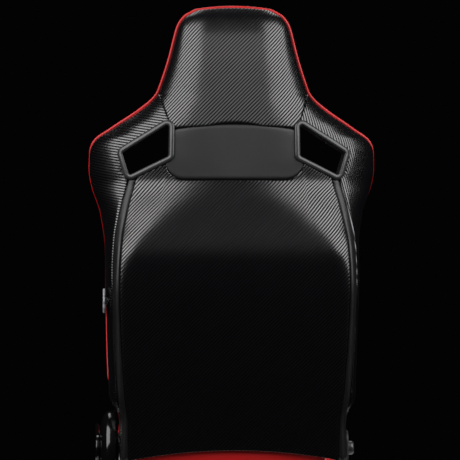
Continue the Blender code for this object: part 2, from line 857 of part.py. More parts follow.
def side_pad(name, side, heights, material, parent):
    """A bolster or shoulder pad: a roll from the insert's edge out to the piping."""

    def surface(shape):
        def point(u, height):
            x, y, height = shape(u, height)
            return side * x, y, height

        return point

    return grid_solid(name, surface(bolster_front), surface(bolster_back), even(6), heights, material, parent)


def bezel(name, side, surface, outward, material, parent):
    """A ring round a harness slot with a sleeve into it; outward is -1 at the rear and 1 at the front."""
    section = [
        (BEZEL_OUTER, BEZEL_SEAT),
        (BEZEL_OUTER, BEZEL_PROUD * 0.55),
        (BEZEL_OUTER - BEZEL_ROUND, BEZEL_PROUD),
        (BEZEL_ROUND - BEZEL_INNER, BEZEL_PROUD),
        (-BEZEL_INNER, BEZEL_PROUD * 0.55),
        (-BEZEL_INNER, None),
        (BEZEL_WALL - BEZEL_INNER, None),
        (BEZEL_WALL - BEZEL_INNER, BEZEL_SEAT),
    ]
    outlines = [slot_outline(distance, spans=4) for distance, _ in section]
    rings = []
    for i in range(len(outlines[0])):
        ring = []
        for outline, (_, lift) in zip(outlines, section):
            x, height = outline[i]
            if lift is None:
                y = SLOT_MIDDLE_Y + outward * FIT / 2
            else:
                y = surface(x, height) + outward * lift
            ring.append((side * x, y, height))
        rings.append(ring)
    return loft(name, rings, material, parent, closed=True)


def piping_path():
    """Up the right edge, over the headrest and down the left edge."""
    right = []
    for height in SIDE_ROWS + [NECK_HEIGHT] + HEADREST_ROWS:
        corner = max(height - CORNER_HEIGHT, 0.0) / (HEADREST_TOP - CROWN_DROP - CORNER_HEIGHT)
        inset = PIPING_RADIUS * min(outline_lean(height), 2.0) * (1 - corner)
        depth = smooth_value(EDGE, height)
        right.append((half_width(height) - inset, depth, height - PIPING_RADIUS * corner))
    top = []
    for x in even(6, CROWN_HALF, -CROWN_HALF)[1:-1]:
        height = headrest_top(x)
        top.append((x, smooth_value(EDGE, height), height - PIPING_RADIUS))
    return right + top + [(-x, y, height) for x, y, height in reversed(right)]


def make_back_covers(paint, parent):
    edge_top = sill_height(SLOT_COLUMNS[-1])
    rows = [*shares_between(STRIP_ROWS, HEM_LOW, edge_top), 1.0]
    columns = mirrored(SILL_COLUMNS + SLOT_COLUMNS)
    cover_panel("lower_rear_panel", lower_panel_place, columns, rows, paint["carbon"], parent)
    rows = shares_between(YOKE_ROWS, YOKE_ROWS[0], YOKE_ROWS[-1])
    cover_panel("yoke_panel", yoke_place, mirrored(SILL_COLUMNS), rows, paint["smooth"], parent)
    rows = shares_between(NECK_ROWS + HEADREST_ROWS, NECK_ROWS[0], HEADREST_ROWS[-1])
    columns = even(12, -1.0, 1.0)
    cover_panel(
        "headrest_rear_panel", headrest_place, columns, rows, paint["carbon"], parent, top_draw=PANEL
    )
    for word, side in (("left", -1), ("right", 1)):
        panel = cover_panel(
            "side_panel_" + word, side_panel_place(side), even(6), SIDE_ROWS, paint["carbon"], parent
        )
        cut(panel, slot_cutter("slot_in_panel_" + word, side, parent), "MANIFOLD")
        if side < 0:
            hole = rod_cutter(
                "lumbar_hole",
                LUMBAR_SHAFT_RADIUS + RUNNING,
                -WAIST_HALF - PANEL,
                -WAIST_HALF + 4 * PANEL,
                parent,
                (LUMBAR_DEPTH, LUMBAR_HEIGHT),
                20,
            )
            cut(panel, hole, "MANIFOLD")
        cover_panel(
            "seam_strip_" + word, strip_place(side), even(2), STRIP_ROWS, paint["smooth"], parent,
            STRIP_PROUD, STRIP_DEPTH,
        )
        bezel("harness_bezel_" + word, side, skin_depth, -1, paint["satin"], parent)
        bezel("harness_bezel_front_" + word, side, bolster_depth, 1, paint["satin"], parent)
    tube("edge_piping", piping_path(), PIPING_RADIUS, 6, paint["red"], parent)


def make_back_pads(paint, parent):
    shoulder_rows = [BOLSTER_TOP, *SILL_ROWS, *YOKE_ROWS[1:], *NECK_ROWS[1:-2]]
    for word, side in (("left", -1), ("right", 1)):
        heights = BOLSTER_ROWS[:-1] + [BOLSTER_TOP - SEAM]
        side_pad("back_bolster_" + word, side, heights, paint["red"], parent)
        shoulder = side_pad("shoulder_pad_" + word, side, shoulder_rows, paint["red"], parent)
        cut(shoulder, slot_cutter("slot_in_pad_" + word, side, parent))

    def insert_front(share, height):
        rise = (height - PAD_START) / (INSERT_TOP - PAD_START)
        crown = INSERT_CROWN * (1 - share**2) * math.sin(HALF_TURN * rise) ** 0.4
        x = share * (smooth_value(INSERT_HALF, height) - SEAM)
        return x, smooth_value(INSERT_FRONT, height) + crown, height

    def insert_back(share, height):
        x = share * (smooth_value(INSERT_HALF, height) - SEAM - INSERT_BACK_DRAW)
        return x, smooth_value(INSERT_FRONT, height) - INSERT_DEPTH, height

    insert_rows = BOLSTER_ROWS + SILL_ROWS + YOKE_ROWS[1:] + [INSERT_TOP - SEAM]
    columns = even(8, -1.0, 1.0)
    grid_solid("back_insert", insert_front, insert_back, columns, insert_rows, paint["red"], parent)

    def headrest_row(share, v):
        """As narrow as the insert between the shoulder pads, and as wide as the cover above them."""
        height = blend(INSERT_TOP, HEADREST_TOP - CROWN_DROP * share**2, v)
        inner = smooth_value(INSERT_HALF, height) - SEAM
        return height, blend(inner, half_width(height), above_shoulders(height))

    def headrest_front(share, v):
        height, half = headrest_row(share, v)
        rim = headrest_rear(height) + smooth_value(HEADREST_LIFT, height)
        depth = blend(rim, smooth_value(HEADREST_FRONT, height), math.cos(share * QUARTER) ** 0.7)
        return half * math.sin(share * QUARTER), depth, height

    def headrest_back(share, v):
        height, half = headrest_row(share, v)
        depth = headrest_rear(height) + PAD_RIM / 3
        return (half - PAD_RIM) * math.sin(share * QUARTER), depth, height - PAD_RIM * v**12

    heights = [INSERT_TOP, NECK_ROWS[2], SHOULDER_TOP + SEAM, NECK_HEIGHT, *HEADREST_ROWS]
    rows = shares_between(heights, INSERT_TOP, HEADREST_ROWS[-1])
    grid_solid("headrest_pad", headrest_front, headrest_back, even(10, -1.0, 1.0), rows, paint["red"], parent)


def above_shoulders(height):
    """0 up to the shoulder pads' top, 1 from the neck upwards."""
    step = SHOULDER_TOP + SEAM
    return min(max((height - step) / (NECK_HEIGHT - step), 0.0), 1.0)


def headrest_rear(height):
    """Depth of the headrest pad's back: inside the back low down, at the piping higher up."""
    return blend(smooth_value(HEADREST_BACK, height), pad_edge(height), above_shoulders(height))


def upright_depth(height):
    return smooth_value(UPRIGHT_DEPTH, height)


def make_back_frame(paint, parent):
    butt = Vector((0.0, 0.0, TUBE_BUTT))
    for word, side in (("left", -1), ("right", 1)):
        straight = [(UPRIGHT_X, upright_depth(h), h) for h in UPRIGHT_ROWS]
        path = [*curve_through([*straight, *UPRIGHT_SHOULDER], 2), Vector(UPRIGHT_SHOULDER[-1]) + butt]
        path = [(side * x, y, h) for x, y, h in path]
        tube("back_upright_" + word, path, TUBE_RADIUS, 12, paint["frame"], parent)
        make_recliner_arm(word, side, paint, parent)

    top = Vector(UPRIGHT_SHOULDER[-1])
    half = [top + butt * 2, *HOOP]
    hoop = [*half, HOOP_MIDDLE, *[(-x, y, h) for x, y, h in reversed(half)]]
    start = top + butt + Vector((0.0, 0.0, FIT))
    path = [start, *curve_through(hoop, 2), (-start.x, start.y, start.z)]
    tube("headrest_hoop", path, TUBE_RADIUS, 12, paint["frame"], parent)

    reach = UPRIGHT_X - TUBE_RADIUS - FIT
    for word, height in (("lower", LOWER_BAR_HEIGHT), ("upper", UPPER_BAR_HEIGHT)):
        path = [(x, upright_depth(height), height) for x in (-reach, reach)]
        tube(word + "_crossbar", path, TUBE_RADIUS * 0.8, 10, paint["frame"], parent)
    for number, height in enumerate(WIRE_HEIGHTS, start=1):
        path = []
        for i in range(9):
            share = i / 4 - 1
            bow = WIRE_BOW * (1 - share**2)
            path.append((share * reach, upright_depth(height) - bow, height))
        tube(f"back_wire_{number}", path, WIRE_RADIUS, 6, paint["zinc"], parent)


def make_recliner_arm(word, side, paint, parent):
    tip = (upright_depth(LOWER_BAR_HEIGHT), LOWER_BAR_HEIGHT)
    outline = link_outline((0.0, 0.0), ARM_HUB, tip, ARM_TIP_RADIUS)
    arm = extrude(
        "recliner_arm_" + word, outline, "X", side * ARM_IN, side * ARM_OUT, paint["frame"], parent
    )
    bore = (BOSS_RADIUS if side < 0 else PIN_RADIUS) + RUNNING
    cut(arm, rod_cutter("arm_bore_" + word, bore, side * (ARM_IN - PLATE), side * (ARM_OUT + PLATE), parent))


def make_lumbar(paint, back):
    """Knob on the left side panel, its shaft with a cam, and the plate that the cam pushes forward."""
    axis = axis_empty("lumbar_axis", (0.0, LUMBAR_DEPTH, LUMBAR_HEIGHT), back)
    count = 30
    rim = [skin_side(LUMBAR_DEPTH + a, LUMBAR_HEIGHT + b) for a, b in circle(KNOB_RADIUS, 8)]
    knob_start = -max(rim) - FIT
    knob = []
    for along, scale in KNOB_PROFILE:
        ring = []
        for i in range(count):
            angle = TURN * i / count
            radius = scale * (KNOB_RADIUS + KNOB_LOBE * math.cos(KNOB_LOBES * angle))
            ring.append((knob_start - along, radius * math.cos(angle), radius * math.sin(angle)))
        knob.append(ring)
    loft("lumbar_knob", knob, paint["knob"], axis)

    # The cam's flank lifts a flat plate evenly with the angle turned, then falls back to a circle
    cam = []
    lift_rate = LUMBAR_TRAVEL / QUARTER
    for angle in even(15, 0.0, QUARTER):
        reach = LUMBAR_CAM_LOW + lift_rate * angle
        cam.append(
            (
                reach * math.cos(angle) - lift_rate * math.sin(angle),
                -reach * math.sin(angle) - lift_rate * math.cos(angle),
            )
        )
    cam += [(LUMBAR_CAM_LOW * math.cos(a), LUMBAR_CAM_LOW * math.sin(a)) for a in even(13, HALF_TURN, 0.0)]
    shaft = [Vector(point).normalized() * LUMBAR_SHAFT_RADIUS for point in cam]
    cam_start = -LUMBAR_CAM_END - LUMBAR_CAM_WIDTH
    sections = [
        (knob_start + FIT, shaft),
        (cam_start, shaft),
        (cam_start, cam),
        (-LUMBAR_CAM_END, cam),
    ]
    rings = [[(x, a, b) for a, b in section] for x, section in sections]
    loft("lumbar_cam_shaft", rings, paint["zinc"], axis)

    wide, high, thick = LUMBAR_PLATE
    corners = [(-wide, -high), (wide, -high), (wide, high), (-wide, high)]
    outline = [(p.x, p.y + LUMBAR_HEIGHT) for p in rounded_corners(corners, high * 0.4)]
    rear = LUMBAR_DEPTH + LUMBAR_CAM_LOW + LUMBAR_PLATE_GAP
    extrude("lumbar_plate", outline, "Y", rear, rear + thick, paint["frame"], back)


def skin_side(depth, height):
    """Half-width of the rear cover's side at a depth, found by halving."""
    low, high = 1.0, 2.0
    for _ in range(40):
        middle = (low + high) / 2
        if skin_point(middle, height)[1] < depth:
            low = middle
        else:
            high = middle
    return skin_point(low, height)[0]


def make_recliner(paint, carriage, axis):
    """Brackets on the rails, the recliner and its cover and lever at the left, the pivot at the right."""
    for word, side in (("left", -1), ("right", 1)):
        foot_top = UPPER_TOP + FIT + FLANGE_THICK
        profile = [
            (RAIL_X + PAN_PLATE, UPPER_TOP + FIT),
            (BRACKET_OUT, UPPER_TOP + FIT),
            (BRACKET_OUT, AXIS_HEIGHT + BRACKET_TOP),
            (BRACKET_IN, AXIS_HEIGHT + BRACKET_TOP),
            (BRACKET_IN, foot_top),
            (RAIL_X + PAN_PLATE, foot_top),
        ]
        outline = [(side * x, z) for x, z in profile]
        bracket = extrude(
            "recliner_bracket_" + word, outline, "Y", -BRACKET_HALF, BRACKET_HALF, paint["frame"], carriage
        )
        round_top_corners(bracket, AXIS_HEIGHT + BRACKET_TOP, BRACKET_HALF * 0.8)
        bore = (SHAFT_RADIUS if side < 0 else PIN_RADIUS) + RUNNING
        ends = (side * (BRACKET_IN - PLATE), side * (BRACKET_OUT + PLATE))
        cut(bracket, rod_cutter("bracket_bore_" + word, bore, *ends, axis))

    disc = [
        (0, ARM_IN - BOSS_PROUD),
        (BOSS_RADIUS, ARM_IN - BOSS_PROUD),
        (BOSS_RADIUS, ARM_OUT + FIT),
        (DISC_RADIUS, ARM_OUT + FIT),
        (DISC_RADIUS, BRACKET_IN - FIT),
        (0, BRACKET_IN - FIT),
    ]
    turned("recliner_disc", disc, -1, paint["zinc"], axis)
    pin = [
        (0, ARM_IN - PIN_HEAD),
        (PIN_HEAD_RADIUS, ARM_IN - PIN_HEAD),
        (PIN_HEAD_RADIUS, ARM_IN - FIT),
        (PIN_RADIUS, ARM_IN - FIT),
        (PIN_RADIUS, BRACKET_OUT),
        (0, BRACKET_OUT),
    ]
    turned("pivot_pin", pin, 1, paint["zinc"], axis)
    cap_low = BRACKET_OUT + FIT
    cap = [
        (0, cap_low),
        (CAP_RADIUS, cap_low),
        (CAP_RADIUS, cap_low + CAP_HEIGHT * 0.45),
        (CAP_RADIUS * 0.92, cap_low + CAP_HEIGHT * 0.8),
        (CAP_RADIUS * 0.6, cap_low + CAP_HEIGHT),
        (0, cap_low + CAP_HEIGHT),
    ]
    turned("pivot_cap", cap, 1, paint["satin"], axis, 24)

    bore = SHAFT_RADIUS + RUNNING
    dome = [(1.0, 0.0), (1.0, 0.42), (0.95, 0.66), (0.80, 0.86), (0.50, 0.97)]
    outer = [(COVER_RADIUS * share, COVER_START + COVER_HEIGHT * lift) for share, lift in dome]
    inner = [
        (COVER_RADIUS * share - COVER_WALL, max(COVER_START, COVER_START + COVER_HEIGHT * lift - COVER_WALL))
        for share, lift in reversed(dome)
    ]
    profile = [*outer, (bore, COVER_TOP), (bore, COVER_TOP - COVER_WALL), *inner]
    turned("recliner_cover", profile, -1, paint["gloss"], axis, 28)

    lever_axis = axis_empty("lever_axis", (0.0, 0.0, 0.0), axis)
    outline = link_outline((0.0, 0.0), LEVER_HUB, LEVER_TIP, LEVER_TIP_RADIUS)
    extrude("recline_lever", outline, "X", -LEVER_IN, -LEVER_IN - LEVER_THICK, paint["satin"], lever_axis)
    shaft = [
        (0, BRACKET_IN),
        (SHAFT_RADIUS, BRACKET_IN),
        (SHAFT_RADIUS, LEVER_IN - FIT),
        (0, LEVER_IN - FIT),
    ]
    turned("lever_shaft", shaft, -1, paint["zinc"], lever_axis, 20)


def round_top_corners(obj, top, radius):
    """Rounds a plate's two upper corners, whose edges run along X."""
    shape = bmesh.new()
    shape.from_mesh(obj.data)
    edges = []
    for edge in shape.edges:
        run = edge.verts[1].co - edge.verts[0].co
        high = min(vertex.co.z for vertex in edge.verts) > top - FIT
        if high and abs(run.x) > FIT and abs(run.y) < FIT:
            edges.append(edge)
    bmesh.ops.bevel(shape, geom=edges, offset=radius, segments=6, profile=0.5, affect="EDGES")
    shape.to_mesh(obj.data)
    shape.free()


def make_sliders(paint, floor, carriage):
    foot_low = RAIL_WALL + FOOT_LIFT
    foot_top = RAIL_HIGH - RAIL_WALL - 2 * RUNNING
    lower = [
        (-RAIL_HALF, 0.0),
        (RAIL_HALF, 0.0),
        (RAIL_HALF, RAIL_HIGH),
        (RAIL_SLOT_HALF, RAIL_HIGH),
        (RAIL_SLOT_HALF, RAIL_HIGH - RAIL_WALL),
        (RAIL_HALF - RAIL_WALL, RAIL_HIGH - RAIL_WALL),
        (RAIL_HALF - RAIL_WALL, RAIL_WALL),
        (RAIL_WALL - RAIL_HALF, RAIL_WALL),
        (RAIL_WALL - RAIL_HALF, RAIL_HIGH - RAIL_WALL),
        (-RAIL_SLOT_HALF, RAIL_HIGH - RAIL_WALL),
        (-RAIL_SLOT_HALF, RAIL_HIGH),
        (-RAIL_HALF, RAIL_HIGH),
    ]
    right = [
        (FOOT_HALF, foot_low),
        (FOOT_HALF, foot_top),
        (WEB_HALF, foot_top),
        (WEB_HALF, UPPER_TOP - FLANGE_THICK),
        (FLANGE_HALF, UPPER_TOP - FLANGE_THICK),
        (FLANGE_HALF, UPPER_TOP),
    ]
    upper = right + [(-x, z) for x, z in reversed(right)]
    ends = (-RAIL_LENGTH / 2, RAIL_LENGTH / 2)
    for word, side in (("left", -1), ("right", 1)):
        for name, profile, parent in (("lower", lower, floor), ("upper", upper, carriage)):
            outline = [(side * RAIL_X + x, z) for x, z in profile]
            start, end = (y - parent.location.y for y in ends)
            extrude(f"{name}_rail_{word}", outline, "Y", start, end, paint["zinc"], parent)
        for place, middle in (("rear", ends[0] + GLIDE_INSET), ("front", ends[1] - GLIDE_INSET)):
            block = [
                (side * RAIL_X + x, z)
                for x, z in (
                    (-FOOT_HALF, RAIL_WALL + FIT),
                    (FOOT_HALF, RAIL_WALL + FIT),
                    (FOOT_HALF, foot_low - FIT),
                    (-FOOT_HALF, foot_low - FIT),
                )
            ]
            start = middle - GLIDE_LENGTH / 2 - carriage.location.y
            run = (start, start + GLIDE_LENGTH)
            extrude(f"rail_glide_{place}_{word}", block, "Y", *run, paint["nylon"], carriage)


def make_pan(paint, carriage):
    base = UPPER_TOP + FIT
    tube_height = CUSHION_LOW - FIT - TUBE_RADIUS
    for word, side in (("left", -1), ("right", 1)):
        outline = [
            (PAN_REAR + PAN_HEEL, base),
            (PAN_FRONT, base),
            (PAN_FRONT, PAN_TOP - PAN_NOSE),
            (PAN_FRONT - PAN_NOSE, PAN_TOP),
            (PAN_REAR + 2 * PAN_NOSE, PAN_TOP),
            (PAN_REAR, PAN_TOP - PAN_HEEL),
        ]
        ends = (side * PAN_X, side * (PAN_X + PAN_PLATE))
        extrude("pan_side_" + word, outline, "X", *ends, paint["frame"], carriage)
    reach = PAN_X - FIT
    for word, depth in (("rear", PAN_TUBE_REAR), ("front", PAN_TUBE_FRONT)):
        path = [(x, depth, tube_height) for x in (-reach, reach)]
        tube(f"pan_{word}_tube", path, TUBE_RADIUS, 12, paint["frame"], carriage)
    for number, depth in enumerate(PAN_WIRES, start=1):
        height = CUSHION_LOW - 2 * FIT - WIRE_RADIUS
        path = [(x, depth, height - WIRE_RADIUS) for x in (-reach, 0.0, reach)]
        tube(f"pan_wire_{number}", path, WIRE_RADIUS, 6, paint["zinc"], carriage)


def make_cushion(paint, carriage, axis):
    def insert_top(share, v):
        depth = blend(CUSHION_REAR, CUSHION_REACH, v)
        crown = SEAT_CROWN * (1 - share**2) * math.sin(HALF_TURN * v) ** 0.5
        return share * SEAT_INSERT_HALF, depth, smooth_value(SEAT_TOP, depth) + crown

    def insert_low(share, v):
        depth = blend(CUSHION_REAR, CUSHION_REACH - SEAT_RIM, v)
        return share * (SEAT_INSERT_HALF - INSERT_BACK_DRAW), depth, smooth_value(SEAT_LOW, depth)

    grid_solid("seat_insert", insert_top, insert_low, even(8, -1.0, 1.0), even(14), paint["red"], carriage)

    inner = SEAT_INSERT_HALF + SEAM

    def bolster(side, width, shape):
        def point(u, v):
            depth = blend(SEAT_BOLSTER_REAR, SEAT_BOLSTER_FRONT, v)
            x = inner + width * math.sin(u * QUARTER)
            return side * x, depth, shape(u, depth)

        return point

    def roll(u, depth):
        edge = blend(smooth_value(SEAT_TOP, depth), SEAT_SIDE_LOW, u**2)
        top = edge + smooth_value(SEAT_CREST, depth) * math.sin(HALF_TURN * u) ** 0.7
        return blend(CUSHION_LOW + SEAT_RIM, top, smooth_value(SEAT_TAPER, depth))

    def underside(u, depth):
        return CUSHION_LOW

    for word, side in (("left", -1), ("right", 1)):
        upper = bolster(side, SEAT_BOLSTER_WIDTH, roll)
        lower = bolster(side, SEAT_BOLSTER_WIDTH - SEAT_RIM, underside)
        grid_solid("seat_bolster_" + word, upper, lower, even(7), even(11), paint["red"], carriage)

    def skirt(radius):
        def point(x, angle):
            return x, radius * math.cos(angle), radius * math.sin(angle)

        return point

    columns = even(3, -SKIRT_HALF, SKIRT_HALF)
    rows = even(12, SKIRT_START, SKIRT_END)
    outer, inner = skirt(SKIRT_RADIUS + SKIRT_WALL), skirt(SKIRT_RADIUS)
    grid_solid("seat_rear_skirt", outer, inner, columns, rows, paint["red"], axis)


def make_slide_bar(paint, carriage):
    """A bar under the cushion's front edge, turning in two bushes on the upper rails."""
    axis = axis_empty("bar_axis", (0.0, BAR_PIVOT, BAR_HEIGHT), carriage)
    bush_out = RAIL_X - WEB_HALF - FIT
    bush_in = bush_out - BUSH_WIDTH
    reach = BAR_FRONT - BAR_PIVOT
    end = bush_out - BAR_RADIUS
    half = [
        (bush_in - BAR_RADIUS, 0.0, 0.0),
        (BAR_HALF, BAR_BEND, 0.0),
        (BAR_HALF, reach - 2 * BAR_BEND, 0.0),
        (BAR_HALF - BAR_BEND * 0.4, reach - BAR_BEND * 0.5, 0.0),
        (BAR_HALF - 1.6 * BAR_BEND, reach, 0.0),
    ]
    knots = half + [(-x, y, z) for x, y, z in reversed(half)]
    straight = [(end, 0.0, 0.0), (bush_in, 0.0, 0.0)]
    path = [*straight, *curve_through(knots, 3), *[(-x, y, z) for x, y, z in reversed(straight)]]
    tube("slide_release_bar", path, BAR_RADIUS, 8, paint["frame"], axis)
    top = UPPER_TOP - FLANGE_THICK - FIT
    low = 2 * BAR_HEIGHT - top
    for word, side in (("left", -1), ("right", 1)):
        corners = [
            (BAR_PIVOT - BUSH_LENGTH / 2, low),
            (BAR_PIVOT + BUSH_LENGTH / 2, low),
            (BAR_PIVOT + BUSH_LENGTH / 2, top),
            (BAR_PIVOT - BUSH_LENGTH / 2, top),
        ]
        bush = extrude(
            "bar_bush_" + word, corners, "X", side * bush_in, side * bush_out, paint["nylon"], carriage
        )
        ends = (side * (bush_in - BUSH_WIDTH), side * (bush_out + BUSH_WIDTH))
        cut(bush, rod_cutter("bush_bore_" + word, BAR_RADIUS + RUNNING, *ends, axis, sides=20))


def main():
    start_empty_scene()
    paint = make_finishes()
    floor = axis_empty("floor_frame", (0.0, 0.0, 0.0))
    carriage = axis_empty("carriage", (0.0, AXIS_Y, 0.0))
    axis = axis_empty("recline_axis", (0.0, 0.0, AXIS_HEIGHT), carriage)
    back = axis_empty("back", (0.0, 0.0, 0.0), axis)
    make_sliders(paint, floor, carriage)
    make_pan(paint, carriage)
    make_cushion(paint, carriage, axis)
    make_slide_bar(paint, carriage)
    make_recliner(paint, carriage, axis)
    make_back_frame(paint, back)
    make_back_pads(paint, back)
    make_back_covers(paint, back)
    make_lumbar(paint, back)


main()
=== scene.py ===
"""Visual model of a reclining sport seat: sewn covers, padded cushions and fittings round its solid frame.

Metres, +Z up, +Y the way the sitter faces, +X the sitter's right. Heights and depths on the back are measured
from the recline axis.
"""

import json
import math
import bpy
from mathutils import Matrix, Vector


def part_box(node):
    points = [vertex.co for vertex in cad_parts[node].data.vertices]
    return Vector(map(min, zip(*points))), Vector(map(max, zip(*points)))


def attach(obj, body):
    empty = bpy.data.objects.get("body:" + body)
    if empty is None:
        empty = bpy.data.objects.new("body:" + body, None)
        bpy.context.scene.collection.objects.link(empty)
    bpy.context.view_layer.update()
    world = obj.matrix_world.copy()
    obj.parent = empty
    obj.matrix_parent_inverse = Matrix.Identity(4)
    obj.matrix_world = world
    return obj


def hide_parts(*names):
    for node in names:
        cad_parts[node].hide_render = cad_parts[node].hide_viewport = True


bl_info = {
    "name": "Reclining sport seat",
    "version": (1, 0, 0),
    "blender": (4, 5, 0),
    "location": "View3D > Sidebar > Seat",
    "description": "Models the covers, pads and fittings of a reclining sport seat round its solid frame",
    "category": "Mesh",
}

from functools import partial

import bpy
from mathutils import Quaternion, Vector
from mathutils.kdtree import KDTree

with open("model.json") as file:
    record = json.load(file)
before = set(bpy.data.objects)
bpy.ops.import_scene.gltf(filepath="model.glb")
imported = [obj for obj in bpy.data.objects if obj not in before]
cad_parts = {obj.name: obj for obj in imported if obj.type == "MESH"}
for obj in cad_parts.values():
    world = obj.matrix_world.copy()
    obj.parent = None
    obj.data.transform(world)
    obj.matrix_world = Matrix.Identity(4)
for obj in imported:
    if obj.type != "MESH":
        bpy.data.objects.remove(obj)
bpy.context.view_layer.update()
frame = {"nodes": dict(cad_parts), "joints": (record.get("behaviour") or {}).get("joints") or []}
JOINTS = {joint["name"]: joint for joint in frame["joints"]}
AXIS = Vector(JOINTS["recline"]["pos_m"])
SIDES = (("left", -1), ("right", 1))

QUARTER = math.pi / 2

# Outline of the back: half-width at each height above the recline axis
HEM_LOW = -0.020
HEM_MIDDLE = 0.0
NECK_HEIGHT = 0.697
TOP = 0.861
CROWN_DROP = 0.006
CROWN_HALF = 0.073
CORNER_HEIGHT = 0.839
OUTLINE = [
    (HEM_LOW, 0.2205), (0.050, 0.2205), (0.070, 0.2235), (0.105, 0.241), (0.200, 0.245), (0.391, 0.248),
    (0.462, 0.258), (0.509, 0.274), (0.545, 0.280), (0.581, 0.279), (0.601, 0.272), (0.625, 0.240),
    (0.657, 0.191), (0.681, 0.160), (NECK_HEIGHT, 0.148), (0.756, 0.128), (0.817, 0.112),
    (CORNER_HEIGHT, 0.100), (TOP - CROWN_DROP, CROWN_HALF),
]

# Depth of the rear cover on the middle line, half-width of its flat middle, and how square its corners are
REAR = [
    (HEM_LOW, -0.083), (0.050, -0.100), (0.152, -0.125), (0.302, -0.1580), (0.350, -0.1660),
    (0.366, -0.1681), (0.380, -0.1690), (0.394, -0.1680), (0.412, -0.1645), (0.430, -0.1607),
    (0.480, -0.1500), (0.523, -0.1410), (0.634, -0.1370), (0.700, -0.1345), (0.750, -0.1322),
    (0.775, -0.1291), (0.800, -0.1236), (0.820, -0.1162), (0.838, -0.1062), (TOP - CROWN_DROP, -0.0880),
    (TOP, -0.0778),
]
FLAT = [
    (HEM_LOW, 0.185), (0.302, 0.195), (0.390, 0.172), (0.452, 0.092), (0.523, 0.004), (0.560, 0.020),
    (0.634, 0.050), (NECK_HEIGHT, 0.045), (0.800, 0.045), (TOP, 0.035),
]
SQUARE = [
    (HEM_LOW, 5.0), (0.302, 4.5), (0.390, 3.5), (0.452, 2.8), (0.523, 2.1), (0.560, 2.1), (0.600, 2.0),
    (NECK_HEIGHT, 2.0), (0.800, 2.1), (TOP, 2.3),
]

# Depth of the piped edge, and how far the rear cover stays inside the outline there
EDGE = [
    (HEM_LOW, -0.050), (0.000, -0.040), (0.030, -0.020), (0.060, 0.015), (0.100, 0.060), (0.180, 0.110),
    (0.260, 0.125), (0.340, 0.100), (0.420, 0.055), (0.500, 0.020), (0.560, 0.010), (0.606, -0.002),
    (0.640, -0.025), (NECK_HEIGHT, -0.058), (0.750, -0.066), (0.800, -0.069), (TOP, -0.072),
]
RIM = [
    (HEM_LOW, 0.0000), (0.080, 0.0000), (0.150, 0.0018), (0.240, 0.0018), (0.290, 0.0002),
    (0.380, 0.0000), (0.430, 0.0006), (0.500, 0.0008), (0.575, 0.0012), (0.605, 0.0042),
    (0.655, 0.0050), (NECK_HEIGHT, 0.0048), (0.750, 0.0048), (TOP, 0.0048),
]

# How far the cover's edge lies behind the piping and the pads' edge ahead of it, and the cover's least depth
COVER_BEHIND = 0.0015
PADS_AHEAD = 0.0035
LEAST_DEPTH = 0.0004

# Below this height the piping is drawn in behind the cover, over a length of fading
HIP_HEIGHT = 0.135
HIP_TUCK = 0.009
HIP_FADE = 0.040

# Seams: half-width of the lower panel, the strip beside it, the yoke's outline and the seam up to the neck
STRIP_WIDTH = 0.0134
SEAM_GAP = 0.0001
YOKE_LOW = 0.523
YOKE_TOP = 0.630
YOKE_TOP_DROP = 0.010
YOKE_CORNER = 0.036
YOKE_FLAT = 0.098
SILL_OUTER = (0.2045, 0.5258)
SILL_INNER = (YOKE_FLAT + YOKE_CORNER, YOKE_LOW + YOKE_CORNER)
STRIP = [
    (HEM_LOW, 0.2055), (0.050, 0.2055), (0.105, 0.2125), (0.140, 0.2150), (0.216, 0.2195),
    (0.292, 0.2222), (0.350, 0.2227), (0.388, 0.2210), (0.417, 0.2182), (0.446, 0.2124),
    (0.484, 0.2036), (0.503, 0.1975), (SILL_OUTER[1], SILL_OUTER[0] - STRIP_WIDTH),
]
NECK_SEAM = [
    (SILL_INNER[1], SILL_INNER[0]), (0.5700, 0.1240), (0.5900, 0.1215),
    (YOKE_TOP - YOKE_TOP_DROP, 0.1210), (0.6400, 0.1270), (0.6770, 0.1400), (NECK_HEIGHT, 0.1470),
]

# Harness slots: corners of the bezel's middle line, half-width and height
SLOT_CORNERS = [(0.121, 0.640), (0.122, 0.5665), (0.205, 0.526), (0.221, 0.578)]
SLOT_RADIUS = 0.009
SLOT_MIDDLE = -0.075

# Front pads round the slots: half-width and depth of the insert's edge, and the roll's height over it
INSERT_HALF = [(0.085, 0.150), (0.440, 0.150), (0.520, 0.112), (0.645, 0.110)]
INSERT_FRONT = [
    (0.085, 0.005), (0.200, 0.000), (0.340, -0.015), (0.450, -0.045), (0.550, -0.058), (0.660, -0.055),
]
CREST = [(0.085, 0.020), (0.200, 0.034), (0.350, 0.036), (0.500, 0.026), (0.600, 0.022), (0.690, 0.012)]


def linear(code):
    """Linear colour of an sRGB hex value such as #1a2b3c."""
    parts = [int(code[i : i + 2], 16) / 255 for i in (1, 3, 5)]
    return tuple(part / 12.92 if part <= 0.04045 else ((part + 0.055) / 1.055) ** 2.4 for part in parts)


def size_prop(name, description, default):
    kind = {"min": 0.0, "precision": 4, "subtype": "DISTANCE", "unit": "LENGTH"}
    return bpy.props.FloatProperty(name=name, description=description, default=default, **kind)


def colour_prop(name, description, code):
    kind = {"min": 0.0, "max": 1.0, "size": 3, "subtype": "COLOR"}
    return bpy.props.FloatVectorProperty(name=name, description=description, default=linear(code), **kind)


